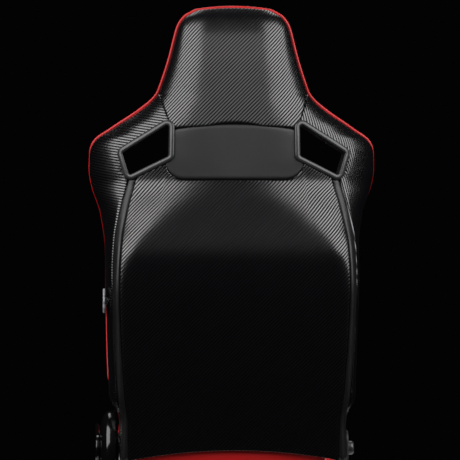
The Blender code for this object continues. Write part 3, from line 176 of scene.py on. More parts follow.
class SeatSizes(bpy.types.PropertyGroup):
    """Sizes of the seat's covers and fittings that a maker would change."""

    piping: size_prop("Piping radius", "Radius of the red welt round the back", 0.0030)
    seam_depth: size_prop("Seam depth", "How deep a sewn seam draws the cover in", 0.0034)
    seam_width: size_prop("Seam roll", "Width over which the cover rolls into a seam", 0.0065)
    cover: size_prop("Cover thickness", "Leatherette and its foam backing", 0.0035)
    thread: size_prop("Thread width", "Width of one thread of the printed twill", 0.00183)
    grain: size_prop("Grain size", "Size of one pebble of the leatherette grain", 0.0012)
    voxel: size_prop("Pad mesh size", "Mesh size of the pads while they are blown up", 0.0055)
    swell: size_prop("Pad swell", "Most that foam pushes a pad's cover out", 0.0060)
    bezel_rise: size_prop("Bezel height", "How far a harness bezel stands off the cover", 0.0062)


class SeatColours(bpy.types.PropertyGroup):
    """Colours of the seat's materials and of the stage."""

    twill_light: colour_prop("Twill, lit threads", "Threads of the printed twill that catch light", "#08080a")
    twill_dark: colour_prop("Twill, shaded threads", "Threads of the printed twill that stay dark", "#040405")
    black: colour_prop("Black leatherette", "Smooth black cover of the yoke and the strips", "#0b0b0c")
    red: colour_prop("Red leatherette", "Red cover of the pads, cushion and piping", "#b6060a")
    satin: colour_prop("Satin plastic", "Moulded bezels and pivot cap", "#2c2c2d")
    gloss: colour_prop("Gloss plastic", "Polished recliner cover and lever", "#080809")
    knob: colour_prop("Knob plastic", "Grey lumbar knob", "#8d8f92")
    paint: colour_prop("Frame paint", "Powder coat on brackets, tubes and plates", "#18181a")
    zinc: colour_prop("Zinc plate", "Plated rails, pins and wires", "#a9acae")
    nylon: colour_prop("Nylon", "Glides and bushes", "#d5d2c6")
    floor: colour_prop("Floor", "Pale studio floor", "#d8d7d3")
    backdrop: colour_prop("Backdrop", "Dark studio backdrop", "#030304")


def blend(start, end, share):
    return start + (end - start) * share


def clamped(share):
    return min(max(share, 0.0), 1.0)


def smooth(share):
    """A share of the way, eased at both ends."""
    return share * share * (3 - 2 * share)


def even(count, start=0.0, end=1.0):
    return [blend(start, end, i / count) for i in range(count + 1)]


def eased(count, start=0.0, end=1.0):
    """Values from start to end, closer together near both ends."""
    return [blend(start, end, 0.5 - 0.5 * math.cos(math.pi * i / count)) for i in range(count + 1)]


def value(stations, place):
    """Value at a place along (place, value) stations, on a smooth curve that never overshoots them."""
    place = min(max(place, stations[0][0]), stations[-1][0])
    spans = [(b[0] - a[0], (b[1] - a[1]) / (b[0] - a[0])) for a, b in zip(stations, stations[1:])]

    def slope(knot):
        if knot in (0, len(spans)):
            return spans[min(knot, len(spans) - 1)][1]
        (before, rise), (after, climb) = spans[knot - 1], spans[knot]
        if rise * climb <= 0:
            return 0.0
        return (before + after) / (before / rise + after / climb)

    index = next(i for i in range(len(spans)) if place <= stations[i + 1][0])
    length = spans[index][0]
    t = (place - stations[index][0]) / length
    return (
        stations[index][1] * (2 * t**3 - 3 * t**2 + 1)
        + stations[index + 1][1] * (3 * t**2 - 2 * t**3)
        + length * slope(index) * (t**3 - 2 * t**2 + t)
        + length * slope(index + 1) * (t**3 - t**2)
    )


def half_width(height):
    return value(OUTLINE, height)


def outline_lean(height):
    """Length along X of a unit step square to the outline."""
    step = 0.010
    run = (half_width(height + step) - half_width(height - step)) / (2 * step)
    return min(math.hypot(1.0, run), 2.0)


def cover_half(height):
    return half_width(height) - value(RIM, height) * outline_lean(height)


def skin_point(sigma, height, inset=0.0):
    """Point of the rear cover: sigma 0 is the middle, 1 the end of the flat and 2 the piped edge."""
    side = math.copysign(1.0, sigma)
    front = value(EDGE, height) - COVER_BEHIND
    rear = min(value(REAR, height) + inset, front - LEAST_DEPTH)
    flat = value(FLAT, height) - inset / 3
    half = cover_half(height) - inset
    if abs(sigma) <= 1:
        return Vector((side * abs(sigma) * flat, rear, height)) + AXIS
    turn = (abs(sigma) - 1) * QUARTER
    power = value(SQUARE, height)
    size = (math.sin(turn) ** power + math.cos(turn) ** power) ** (1 / power)
    x = flat + (half - flat) * math.sin(turn) / size
    return Vector((side * x, front - (front - rear) * math.cos(turn) / size, height)) + AXIS


def sigma_at(x, height):
    """Sigma of the rear cover's point at a distance x from the middle."""
    flat = value(FLAT, height)
    if abs(x) <= flat:
        return x / flat
    power = value(SQUARE, height)
    share = min((abs(x) - flat) / (cover_half(height) - flat), 1.0)
    turn = math.atan2(share, (1 - share**power) ** (1 / power))
    return math.copysign(1 + turn / QUARTER, x)


def hem_height(x):
    return HEM_MIDDLE - (HEM_MIDDLE - HEM_LOW) * min(abs(x) / value(STRIP, HEM_LOW), 1.0) ** 2


def sill_height(x):
    """Seam over the lower panel: along the yoke, round its corner and under the harness slot."""
    x = abs(x)
    if x <= YOKE_FLAT:
        return YOKE_LOW
    if x <= SILL_INNER[0]:
        return SILL_INNER[1] - math.sqrt(max(YOKE_CORNER**2 - (x - YOKE_FLAT) ** 2, 0.0))
    return blend(SILL_INNER[1], SILL_OUTER[1], (x - SILL_INNER[0]) / (SILL_OUTER[0] - SILL_INNER[0]))


def side_inner(height):
    """Half-width at which a side panel starts: the strip, the slot's sill, then the neck seam."""
    if height <= SILL_OUTER[1]:
        return value(STRIP, height) + STRIP_WIDTH
    if height <= SILL_INNER[1]:
        share = (height - SILL_OUTER[1]) / (SILL_INNER[1] - SILL_OUTER[1])
        return blend(SILL_OUTER[0], SILL_INNER[0], share)
    return value(NECK_SEAM, height)


def bolster_depth(x, height):
    """Depth of the front pads' surface round a harness slot."""
    inner = value(INSERT_HALF, height)
    share = math.asin(clamped((abs(x) - inner) / (half_width(height) - inner))) / QUARTER
    edge = value(EDGE, height) + PADS_AHEAD
    y = blend(value(INSERT_FRONT, height), edge, smooth(share))
    return y + value(CREST, height) * math.sin(math.pi * share) ** 0.8


def slot_outline(distance, steps=8, spans=6):
    """Outline of a harness slot, moved out from the bezel's middle line, with round corners."""
    arcs = []
    for i, corner in enumerate(SLOT_CORNERS):
        here = Vector(corner)
        back = (Vector(SLOT_CORNERS[i - 1]) - here).normalized()
        ahead = (Vector(SLOT_CORNERS[(i + 1) % 4]) - here).normalized()
        half_angle = math.acos(back.dot(ahead)) / 2
        centre = here + (back + ahead).normalized() * (SLOT_RADIUS / math.sin(half_angle))
        start = math.atan2(back.x, -back.y)
        arc = []
        for angle in even(steps, start, start + math.pi - 2 * half_angle):
            arc.append(centre + (SLOT_RADIUS + distance) * Vector((math.cos(angle), math.sin(angle))))
        arcs.append(arc)
    points = []
    for i, arc in enumerate(arcs):
        points += arc
        points += [arc[-1].lerp(arcs[(i + 1) % 4][0], k / spans) for k in range(1, spans)]
    return points


def select_only(obj):
    bpy.ops.object.select_all(action="DESELECT")
    obj.select_set(True)
    bpy.context.view_layer.objects.active = obj


def edit_all(obj, *steps):
    """Runs edit-mode steps, each a call, with the whole mesh selected before each."""
    select_only(obj)
    bpy.ops.object.mode_set(mode="EDIT")
    for step in steps:
        bpy.ops.mesh.select_all(action="SELECT")
        step()
    bpy.ops.object.mode_set(mode="OBJECT")


def merge():
    bpy.ops.mesh.remove_doubles(threshold=0.00002)


def face_out():
    bpy.ops.mesh.normals_make_consistent(inside=False)


def apply_modifier(obj, kind, **settings):
    modifier = obj.modifiers.new(kind.lower(), kind)
    for key, setting in settings.items():
        setattr(modifier, key, setting)
    select_only(obj)
    bpy.ops.object.modifier_apply(modifier=modifier.name)


def add_primitive(name, operator, **settings):
    """Adds a primitive while nothing else is selected, and names it."""
    bpy.ops.object.select_all(action="DESELECT")
    operator(**settings)
    obj = bpy.context.active_object
    obj.name = obj.data.name = name
    return obj


def add_grid(name, columns, rows, point, lay=None):
    """A grid primitive whose corners go to point(i, j); lay(i, j) places them on the flat cloth."""
    grid = bpy.ops.mesh.primitive_grid_add
    obj = add_primitive(name, grid, x_subdivisions=columns, y_subdivisions=rows, size=1.0)
    cells = []
    for vertex in obj.data.vertices:
        i = round((vertex.co.x + 0.5) * columns)
        j = round((vertex.co.y + 0.5) * rows)
        cells.append((i, j))
        vertex.co = point(i, j)
    if lay:
        corners = obj.data.uv_layers.active.data
        for loop in obj.data.loops:
            corners[loop.index].uv = lay(*cells[loop.vertex_index])
    return obj


def add_loft(name, rings, closed=False):
    """A skin over rings of like point counts; an open run of rings is capped at both ends."""
    rings = [*rings, rings[0]] if closed else rings
    count = len(rings[0])
    obj = add_grid(name, count, len(rings) - 1, lambda i, j: rings[j][i % count])
    edit_all(obj, merge, lambda: bpy.ops.mesh.fill_holes(sides=0), face_out)
    return obj


def add_tube(name, path, radius, sides=16):
    """A round bar along a path, its section carried along without twist."""
    points = [Vector(point) for point in path]
    last = len(points) - 1
    across = (points[1] - points[0]).orthogonal()
    rings = []
    for i, point in enumerate(points):
        along = (points[min(i + 1, last)] - points[max(i - 1, 0)]).normalized()
        across = (across - along * across.dot(along)).normalized()
        beside = along.cross(across)
        turns = [math.tau * k / sides for k in range(sides)]
        rings.append([point + radius * (across * math.cos(a) + beside * math.sin(a)) for a in turns])
    return add_loft(name, rings)


def add_lathe(name, profile, centre, direction, sides, lobe=0.0, lobes=0):
    """A profile of (radius, distance) turned about the X axis; lobes ripple the radius."""
    rings = []
    for radius, along in profile:
        ring = []
        for k in range(sides):
            angle = math.tau * k / sides
            reach = radius * (1 + lobe * math.cos(lobes * angle))
            spot = Vector((direction * along, reach * math.cos(angle), reach * math.sin(angle)))
            ring.append(spot + Vector(centre))
        rings.append(ring)
    return add_loft(name, rings)


def add_plate(name, outline, axis, start, end, bevel=0.0, segments=3):
    """An outline in the two other axes, in X, Y, Z order, extruded along one axis, with rounded edges."""
    circle = bpy.ops.mesh.primitive_circle_add
    obj = add_primitive(name, circle, vertices=len(outline), radius=1.0, fill_type="NGON")
    number = "XYZ".index(axis)
    for vertex, point in zip(obj.data.vertices, outline):
        place = list(point)
        place.insert(number, start)
        vertex.co = place
    push = [0.0, 0.0, 0.0]
    push[number] = end - start
    extrude = bpy.ops.mesh.extrude_region_move
    edit_all(obj, lambda: extrude(TRANSFORM_OT_translate={"value": push}), face_out)
    if bevel:
        round_edges(obj, bevel, segments, 25)
    return obj


def round_edges(obj, width, segments, angle):
    """Rounds every edge sharper than an angle in degrees."""
    limit = math.radians(angle)
    apply_modifier(obj, "BEVEL", width=width, segments=segments, limit_method="ANGLE", angle_limit=limit)


def mirrored(points):
    """Points of a right half, then those of the left half, back to the start."""
    return [*points, *((-x, *rest) for x, *rest in reversed(points))]


def rounded_end(radius, fall, deep, start, rise, steps):
    """Lathe profile that turns in by a fall; start and rise are shares of the piece's depth."""
    profile = []
    for angle in even(steps, 0.0, QUARTER):
        profile.append((radius - fall * (1 - math.cos(angle)), deep * (start + rise * math.sin(angle))))
    return profile


def link_outline(radius, tip, tip_radius, steps=14):
    """Outline of a plate that wraps a hub at the origin and a rounder tip."""
    run = Vector(tip)
    heading = math.atan2(run.y, run.x)
    lean = math.acos((radius - tip_radius) / run.length)
    outline = []
    for middle, size, start, end in (
        (tip, tip_radius, heading - lean, heading + lean),
        ((0.0, 0.0), radius, heading + lean, heading - lean + math.tau),
    ):
        for angle in even(steps, start, end):
            outline.append((middle[0] + size * math.cos(angle), middle[1] + size * math.sin(angle)))
    return outline


def curve_through(knots, steps):
    """Points on a smooth curve through the knots, with a number of steps between each two."""
    knots = [Vector(knot) for knot in knots]
    ghost = [2 * knots[0] - knots[1], *knots, 2 * knots[-1] - knots[-2]]
    points = []
    for a, b, c, d in zip(ghost, ghost[1:], ghost[2:], ghost[3:]):
        for t in even(steps)[:-1]:
            bend = (2 * a - 5 * b + 4 * c - d) * t**2 + (3 * b - a - 3 * c + d) * t**3
            points.append(0.5 * (2 * b + (c - a) * t + bend))
    return points + [knots[-1]]


def search_tree(points):
    tree = KDTree(len(points))
    for k, point in enumerate(points):
        tree.insert(point, k)
    tree.balance()
    return tree


def dress(obj, material):
    obj.data.materials.clear()
    obj.data.materials.append(finish(material))


def hand_over(obj, material, body, node, angle=None):
    """Gives a finished piece its shading and material, and its CAD node's place in the moving model.

    Edges sharper than the angle, in degrees, stay sharp.
    """
    select_only(obj)
    if angle:
        bpy.ops.object.shade_smooth_by_angle(angle=math.radians(angle))
    else:
        bpy.ops.object.shade_smooth()
    dress(obj, material)
    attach(obj, body)
    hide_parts(node)


def wire(node, inputs):
    """Sets a node's sockets to values, or links them to other sockets or to a node's first output."""
    for socket, source in inputs.items():
        if isinstance(source, bpy.types.Node):
            source = source.outputs[0]
        if isinstance(source, bpy.types.NodeSocket):
            node.id_data.links.new(source, node.inputs[socket])
        else:
            node.inputs[socket].default_value = source


def add_node(tree, kind, inputs=None, **settings):
    """Adds a node with its own settings, then sets or links its inputs."""
    node = tree.nodes.new("ShaderNode" + kind)
    for key, setting in settings.items():
        setattr(node, key, setting)
    wire(node, inputs or {})
    return node


def new_material(name, sockets):
    """A material with constants on its shader, its Object coordinates and a call that adds nodes to it."""
    material = bpy.data.materials.new(name)
    material.use_nodes = True
    shader = material.node_tree.nodes["Principled BSDF"]
    wire(shader, sockets)
    add = partial(add_node, material.node_tree)
    return material, shader, add("TexCoord").outputs["Object"], add


def twill_leatherette(name, sizes, colours):
    """PVC leatherette printed and embossed as carbon twill: two threads over, two under, in diagonal ribs.

    Upright threads are flat and the crossing ones round, so they catch light from different sides and the eye
    sees fine diagonal lines.
    """
    material, shader, place, add = new_material(name, {"IOR": 1.52})
    flatness, wear_size = 0.25, 0.060
    cloth = add("UVMap")
    scale = 1 / sizes.thread
    threads = add("VectorMath", {0: cloth, 1: (scale, scale, 1.0)}, operation="MULTIPLY")
    count = add("VectorMath", {0: threads}, operation="FLOOR")
    lit, up, _ = add("SeparateXYZ", {0: count}).outputs
    for operation, other in (("SUBTRACT", up), ("FLOORED_MODULO", 4.0), ("LESS_THAN", 2.0)):
        lit = add("Math", {0: lit, 1: other}, operation=operation)
    relief = threads
    for operation, factor in (("FRACTION", (math.pi, math.pi, 0.0)), ("SINE", (flatness, 1.0, 0.0))):
        part = add("VectorMath", {0: relief}, operation=operation)
        relief = add("VectorMath", {0: part, 1: factor}, operation="MULTIPLY")
    upright, crossing, _ = add("SeparateXYZ", {0: relief}).outputs
    height = add("Mix", {0: lit, 2: crossing, 3: upright}, data_type="FLOAT")
    wear = add("TexNoise", {"Vector": place, "Scale": 1 / wear_size, "Detail": 3.0})
    dark, light = (*colours.twill_dark, 1.0), (*colours.twill_light, 1.0)
    colour = add("Mix", {0: lit, 6: dark, 7: light}, data_type="RGBA")
    gloss, shine = (
        add("Math", {0: lit, 1: change, 2: start}, operation="MULTIPLY_ADD")
        for change, start in ((-0.12, 0.35), (0.96, 0.04))
    )
    worn = add("Math", {0: wear, 1: 0.05, 2: gloss}, operation="MULTIPLY_ADD")
    bump = add("Bump", {"Height": height, "Strength": 0.30, "Distance": 0.0003})
    looks = {"Base Color": colour.outputs[2], "Roughness": worn, "Specular IOR Level": shine, "Normal": bump}
    wire(shader, looks)
    return material


def leatherette(name, colour, roughness, grain):
    """PVC leatherette: a fine pebble grain, slightly shinier where it is stretched and worn."""
    material, shader, place, add = new_material(name, {"IOR": 1.5, "Specular IOR Level": 0.45})
    cloud_size, pebble_edge, worn = 0.045, 0.35, 0.06
    shade = tuple(part * 0.82 for part in colour)
    fine = {"Vector": place, "Scale": 1 / grain}
    pebble = add("TexVoronoi", fine, feature="DISTANCE_TO_EDGE")
    rise = add("MapRange", {0: pebble, 1: 0.0, 2: pebble_edge})
    cloud = add("TexNoise", {"Vector": place, "Scale": 1 / cloud_size, "Detail": 4.0})
    tint = add("Mix", {0: cloud, 6: (*shade, 1.0), 7: (*colour, 1.0)}, data_type="RGBA")
    gloss = add("MapRange", {0: cloud, 3: roughness + worn, 4: roughness - worn})
    bump = add("Bump", {"Height": rise, "Strength": 0.25, "Distance": 0.0002})
    wire(shader, {"Base Color": tint.outputs[2], "Roughness": gloss, "Normal": bump})
    return material


def speckled(name, colour, roughness, grit, depth, sockets):
    """A moulded, coated or plated surface: a fine grit in its relief and a soft drift in its gloss."""
    material, shader, place, add = new_material(name, {"Base Color": (*colour, 1.0), **sockets})
    drift_size, spread = 0.030, 0.05
    fine = add("TexNoise", {"Vector": place, "Scale": 1 / grit, "Detail": 2.0})
    drift = add("TexNoise", {"Vector": place, "Scale": 1 / drift_size, "Detail": 3.0})
    gloss = add("MapRange", {0: drift, 3: roughness - spread, 4: roughness + spread})
    bump = add("Bump", {"Height": fine, "Strength": depth, "Distance": 0.0002})
    wire(shader, {"Roughness": gloss, "Normal": bump})
    return material


def finish(name):
    """The material of that name, made when it is first asked for."""
    found = bpy.data.materials.get(name)
    if found:
        return found
    sizes, colours = bpy.context.scene.seat_sizes, bpy.context.scene.seat_colours
    if name == "twill_leatherette":
        return twill_leatherette(name, sizes, colours)
    if name == "black_leatherette":
        return leatherette(name, colours.black, 0.42, sizes.grain)
    if name == "red_leatherette":
        return leatherette(name, colours.red, 0.44, sizes.grain)
    # colour, roughness, grit, depth of the grit and further sockets; fine grit is drawn coarse enough to show
    makers = {
        # ABS moulded in a spark-eroded tool: an even, very fine grit
        "moulded_abs": (colours.satin, 0.30, 0.0006, 0.12, {"IOR": 1.53}),
        # ABS moulded in a polished tool: smooth, with a clear reflection
        "polished_abs": (colours.gloss, 0.14, 0.0040, 0.03, {"IOR": 1.53}),
        # grey ABS, lightly grained
        "knob_abs": (colours.knob, 0.38, 0.0006, 0.10, {"IOR": 1.53}),
        # powder coat: the soft ripple called orange peel
        "powder_coat": (colours.paint, 0.48, 0.0022, 0.20, {"IOR": 1.5}),
        # zinc plate: dull silver with a faint cloud
        "plated_zinc": (colours.zinc, 0.34, 0.0010, 0.10, {"Metallic": 1.0}),
        # natural nylon: waxy, off-white
        "natural_nylon": (colours.nylon, 0.50, 0.0012, 0.08, {"IOR": 1.53, "Subsurface Weight": 0.1}),
    }
    return speckled(name, *makers[name])


def run_lengths(points):
    lengths = [0.0]
    for a, b in zip(points, points[1:]):
        lengths.append(lengths[-1] + (b - a).length)
    return lengths


def level_lengths(points):
    """Lengths along a row of cover points, as if the row stayed at one height."""
    lengths = [0.0]
    for a, b in zip(points, points[1:]):
        fall = value(REAR, b.z - AXIS.z) - value(REAR, a.z - AXIS.z)
        lengths.append(lengths[-1] + math.hypot(b.x - a.x, b.y - a.y - fall))
    return lengths


def roll(distance, depth, width):
    """How far the cover has rolled down at a distance from a seam."""
    share = clamped(distance / width)
    return depth * (1 - math.sqrt(1 - (1 - share) ** 2))


def sewn_panel(name, columns, rows, place, tucks, lay=0.0, start=None, hollow=None):
    """A cover panel between seams.

    place gives sigma and height for a column's and a row's value; tucks are the depths of the left, right,
    lower and upper borders; the cloth is laid from a start column, the middle one unless it is given, and
    turned by lay; hollow gives a further inset at a point.
    """
    start = len(columns) // 2 if start is None else start
    sizes = bpy.context.scene.seat_sizes
    spots = [[place(u, v) for u in columns] for v in rows]
    plain = [[skin_point(*spot) for spot in row] for row in spots]
    across = [run_lengths(row) for row in plain]
    level = [level_lengths(row) for row in plain]
    up = [run_lengths(column) for column in zip(*plain)]

    def settle(i, j):
        distances = (across[j][i], across[j][-1] - across[j][i], up[i][j], up[i][-1] - up[i][j])
        inset = max(roll(distance, tuck, sizes.seam_width) for distance, tuck in zip(distances, tucks))
        if hollow:
            inset = max(inset, hollow(plain[j][i]))
        return skin_point(*spots[j][i], inset)

    def cloth(i, j):
        along, rise = plain[j][start].x + level[j][i] - level[j][start], plain[j][i].z
        cosine, sine = math.cos(lay), math.sin(lay)
        return along * cosine - rise * sine, along * sine + rise * cosine

    obj = add_grid(name, len(columns) - 1, len(rows) - 1, settle, cloth)
    apply_modifier(obj, "SOLIDIFY", thickness=sizes.cover, offset=-1.0)
    return obj


def lower_panel_place(x, v):
    share = x / value(STRIP, SILL_OUTER[1])
    low = hem_height(share * value(STRIP, HEM_LOW))
    height = blend(low, sill_height(x) - SEAM_GAP, v)
    return sigma_at(share * (value(STRIP, height) - SEAM_GAP), height), height


def yoke_place(x, v):
    share = x / SILL_INNER[0]
    top = YOKE_TOP - YOKE_TOP_DROP * share**2 - SEAM_GAP
    height = blend(sill_height(x) + SEAM_GAP, top, v)
    half = value(NECK_SEAM, max(height, SILL_INNER[1])) - SEAM_GAP
    return sigma_at(share * half, height), height


def headrest_place(share, v):
    low = YOKE_TOP - YOKE_TOP_DROP * share**2 + SEAM_GAP
    height = blend(low, TOP - CROWN_DROP * share**2 - value(RIM, TOP), v)
    limit = 2.0
    if height < NECK_HEIGHT:
        limit = sigma_at(value(NECK_SEAM, height) - SEAM_GAP, height)
    return share * limit, height


def side_place(side, u, height):
    share = u if side > 0 else 1 - u
    start = sigma_at(side_inner(height) + SEAM_GAP, height)
    return side * blend(start, 2.0, share), height


def strip_place(side, u, height):
    share = u if side > 0 else 1 - u
    inner = value(STRIP, height)
    outer = inner + STRIP_WIDTH - SEAM_GAP
    return side * sigma_at(blend(inner + SEAM_GAP, outer, share), height), height


def cut_slot(obj, side):
    """Takes the harness slot out of a panel."""
    reach = 0.30
    outline = [(side * point.x, point.y + AXIS.z) for point in slot_outline(0.0)]
    cutter = add_plate("slot_cutter", outline, "Y", AXIS.y - reach, AXIS.y + reach)
    cutter.data.materials.clear()
    apply_modifier(obj, "BOOLEAN", operation="DIFFERENCE", object=cutter, solver="MANIFOLD")
    bpy.data.objects.remove(cutter)


class SEAT_OT_rear_cover(bpy.types.Operator):
    """Sewn black panels over the rear of the back, with the two strips beside the lower panel"""

    bl_idname = "seat.rear_cover"
    bl_label = "Rear cover"

    def execute(self, context):
        deep, free, neck_gap = context.scene.seat_sizes.seam_depth, 0.001, 0.003
        half = value(STRIP, SILL_OUTER[1])
        columns = eased(72, -half, half)
        panel = sewn_panel("rear_panel", columns, eased(84), lower_panel_place, (deep, deep, free, deep))
        hand_over(panel, "twill_leatherette", "backrest", "lower_rear_panel")
        columns = eased(64, -SILL_INNER[0], SILL_INNER[0])
        panel = sewn_panel("yoke", columns, eased(28), yoke_place, (deep, deep, deep, deep))
        hand_over(panel, "black_leatherette", "backrest", "yoke_panel")
        columns = eased(72, -1.0, 1.0)
        panel = sewn_panel("headrest_cover", columns, eased(56), headrest_place, (free, free, deep, free))
        hand_over(panel, "twill_leatherette", "backrest", "headrest_rear_panel")
        bezel_reach, bezel_dip, dip_width = 0.006, 0.0030, 0.008
        ring = search_tree([(spot.x, 0.0, spot.y) for spot in slot_outline(bezel_reach)])

        def recess(point):
            """The cover dips where the bezel is pressed into it."""
            near = ring.find((abs(point.x), 0.0, point.z - AXIS.z))[2]
            return roll(near, bezel_dip, dip_width)

        rows = even(70, HEM_LOW, SILL_OUTER[1]) + even(14, SILL_OUTER[1], SILL_INNER[1])[1:]
        rows += even(40, SILL_INNER[1], NECK_HEIGHT - neck_gap)[1:]
        strip_rows = even(70, HEM_LOW, SILL_OUTER[1] - SEAM_GAP)
        for word, side in SIDES:
            lay, start = (math.radians(53), -1) if side < 0 else (math.radians(-60), 0)
            tucks = (free, deep, free, free) if side < 0 else (deep, free, free, free)
            name = "side_cover_" + word
            panel = sewn_panel(name, eased(48), rows, partial(side_place, side), tucks, lay, start, recess)
            cut_slot(panel, side)
            hand_over(panel, "twill_leatherette", "backrest", "side_panel_" + word)
            place, tucks = partial(strip_place, side), (deep, deep, 0.0, 0.0)
            panel = sewn_panel("strip_" + word, eased(10), strip_rows, place, tucks)
            hand_over(panel, "black_leatherette", "backrest", "seam_strip_" + word)
        return {"FINISHED"}


def piping_path():
    """Up the right edge, over the headrest and down the left edge."""
    radius = bpy.context.scene.seat_sizes.piping
    right = []
    for height in even(150, HEM_LOW, CORNER_HEIGHT) + even(8, CORNER_HEIGHT, TOP - CROWN_DROP)[1:]:
        corner = max(height - CORNER_HEIGHT, 0.0) / (TOP - CROWN_DROP - CORNER_HEIGHT)
        tuck = HIP_TUCK * clamped((HIP_HEIGHT - height) / HIP_FADE)
        inset = radius * outline_lean(height) * (1 - corner) + tuck
        right.append(Vector((half_width(height) - inset, value(EDGE, height), height - radius * corner)))
    top = []
    for x in even(24, CROWN_HALF, -CROWN_HALF)[1:-1]:
        height = TOP - CROWN_DROP * (x / CROWN_HALF) ** 2
        top.append(Vector((x, value(EDGE, height), height - radius)))
    left = [Vector((-point.x, point.y, point.z)) for point in reversed(right)]
    return [point + AXIS for point in right + top + left]


class SEAT_OT_piping(bpy.types.Operator):
    """Red welt sewn round the whole edge of the back"""

    bl_idname = "seat.piping"
    bl_label = "Edge piping"

    def execute(self, context):
        welt = add_tube("edge_welt", piping_path(), context.scene.seat_sizes.piping, 12)
        hand_over(welt, "red_leatherette", "backrest", "edge_piping")
        return {"FINISHED"}


def bezel_point(side, outward, spot, lift):
    """A point of a bezel; lift is its height over the cover, or None where the two bezels meet."""
    x, height = spot
    if lift is None:
        y = SLOT_MIDDLE + outward * 0.0002
    elif outward < 0:
        y = skin_point(sigma_at(x, height), height).y - AXIS.y - lift
    else:
        y = bolster_depth(x, height) + lift
    return Vector((side * x, y, height)) + AXIS


class SEAT_OT_bezels(bpy.types.Operator):
    """Moulded rings round the harness slots, a rear and a front one on each side"""

    bl_idname = "seat.bezels"
    bl_label = "Harness bezels"

    def execute(self, context):
        rise = context.scene.seat_sizes.bezel_rise
        half, middle, base, sunk = 0.0052, 0.0006, 0.25 * rise, -0.0020
        inner = middle - half
        section = [(middle + half, sunk)]
        for angle in even(14, 0.0, math.pi):
            section.append((middle + half * math.cos(angle), base + (rise - base) * math.sin(angle)))
        section += [(inner, 2 * sunk), (inner, None), (inner + 0.0023, None), (inner + 0.0025, sunk)]
        distances, lifts = zip(*section)
        runs = list(zip(*(slot_outline(distance) for distance in distances)))
        for word, side in SIDES:
            for place, outward, node in (("rear", -1, ""), ("front", 1, "front_")):
                rings = [[bezel_point(side, outward, *pair) for pair in zip(run, lifts)] for run in runs]
                ring = add_loft(f"bezel_{place}_{word}", rings, closed=True)
                hand_over(ring, "moulded_abs", "backrest", f"harness_bezel_{node}{word}", 40)
        return {"FINISHED"}


def node_copy(name, node):
    """A merged copy of a CAD node's mesh, as a new object."""
    mesh = frame["nodes"][node].data.copy()
    mesh.name = name
    obj = bpy.data.objects.new(name, mesh)
    bpy.context.scene.collection.objects.link(obj)
    edit_all(obj, merge, face_out)
    return obj


def swell(obj, held, reach):
    """Foam pushes a pad's cover out, while the stitches along its edge hold it."""
    scene = bpy.context.scene
    frames = 20
    start = [vertex.co.copy() for vertex in obj.data.vertices]
    pins = obj.vertex_groups.new(name="stitches")
    for index, share in enumerate(held):
        pins.add([index], share, "REPLACE")
    cloth = obj.modifiers.new("cover", "CLOTH")
    cloth.settings.quality = 4
    cloth.settings.mass = 0.25
    cloth.settings.use_pressure = True
    cloth.settings.uniform_pressure_force = 4.0
    cloth.settings.effector_weights.gravity = 0.0
    cloth.settings.vertex_group_mass = pins.name
    cloth.collision_settings.use_collision = False
    cloth.point_cache.frame_start = 1
    cloth.point_cache.frame_end = frames
    for number in range(1, frames + 1):
        scene.frame_set(number)
    blown = obj.evaluated_get(bpy.context.evaluated_depsgraph_get()).to_mesh()
    moved = [vertex.co - old for vertex, old in zip(blown.vertices, start)]
    obj.modifiers.remove(cloth)
    obj.vertex_groups.clear()
    for vertex, old, move in zip(obj.data.vertices, start, moved):
        vertex.co = old + move * min(1.0, reach / max(move.length, 0.000001))
    scene.frame_set(1)


def add_pad(name, node, body, stitches=(), soften=14, shape=None):
    """A padded piece in the space of a CAD node, changed by a shape step: softened, blown up and smoothed."""
    sizes = bpy.context.scene.seat_sizes
    stitch_reach, stitch_fade, stitch_hold = 0.020, 0.014, 0.85
    obj = node_copy(name, node)
    if shape:
        shape(obj)
    apply_modifier(obj, "REMESH", mode="VOXEL", voxel_size=sizes.voxel)
    held = [0.0] * len(obj.data.vertices)
    if stitches:
        tree = search_tree(stitches)
        for vertex in obj.data.vertices:
            held[vertex.index] = clamped((stitch_reach - tree.find(vertex.co)[2]) / stitch_fade)
    free = obj.vertex_groups.new(name="free")
    for index, share in enumerate(held):
        free.add([index], 1.0 - stitch_hold * share, "REPLACE")
    apply_modifier(obj, "SMOOTH", factor=0.5, iterations=soften, vertex_group=free.name)
    obj.vertex_groups.clear()
    swell(obj, held, sizes.swell)
    apply_modifier(obj, "SMOOTH", factor=0.5, iterations=2)
    apply_modifier(obj, "SUBSURF", levels=1, render_levels=1)
    hand_over(obj, "red_leatherette", body, node)


def crown_shape(obj):
    """The headrest's crown is drawn down to its piping."""
    start, draw = 0.75, 0.05
    for vertex in obj.data.vertices:
        vertex.co.z -= draw * max(vertex.co.z - AXIS.z - start, 0.0)


def bolster_shape(obj):
    """The bolster's lower end is drawn up behind the recliner."""
    for vertex in obj.data.vertices:
        vertex.co.z = max(vertex.co.z, AXIS.z + 0.104)


def shoulder_shape(obj):
    """The shoulder pad's top is drawn down to its piping, and the harness slot taken out."""
    start, fade, draw = 0.560, 0.045, 0.0075
    for vertex in obj.data.vertices:
        vertex.co.z -= draw * smooth(clamped((vertex.co.z - AXIS.z - start) / fade))
    cut_slot(obj, math.copysign(1, obj.data.vertices[0].co.x))


def thigh_shape(obj):
    """The thigh bolster is drawn in, most of all at its rear end, which runs in behind the back's hip."""
    rear_width, front_width, fade = 0.44, 0.62, 0.130
    inner = min(abs(vertex.co.x) for vertex in obj.data.vertices)
    rear = min(vertex.co.y for vertex in obj.data.vertices)
    for vertex in obj.data.vertices:
        width = blend(rear_width, front_width, smooth(clamped((vertex.co.y - rear) / fade)))
        vertex.co.x = math.copysign(blend(inner, abs(vertex.co.x), width), vertex.co.x)


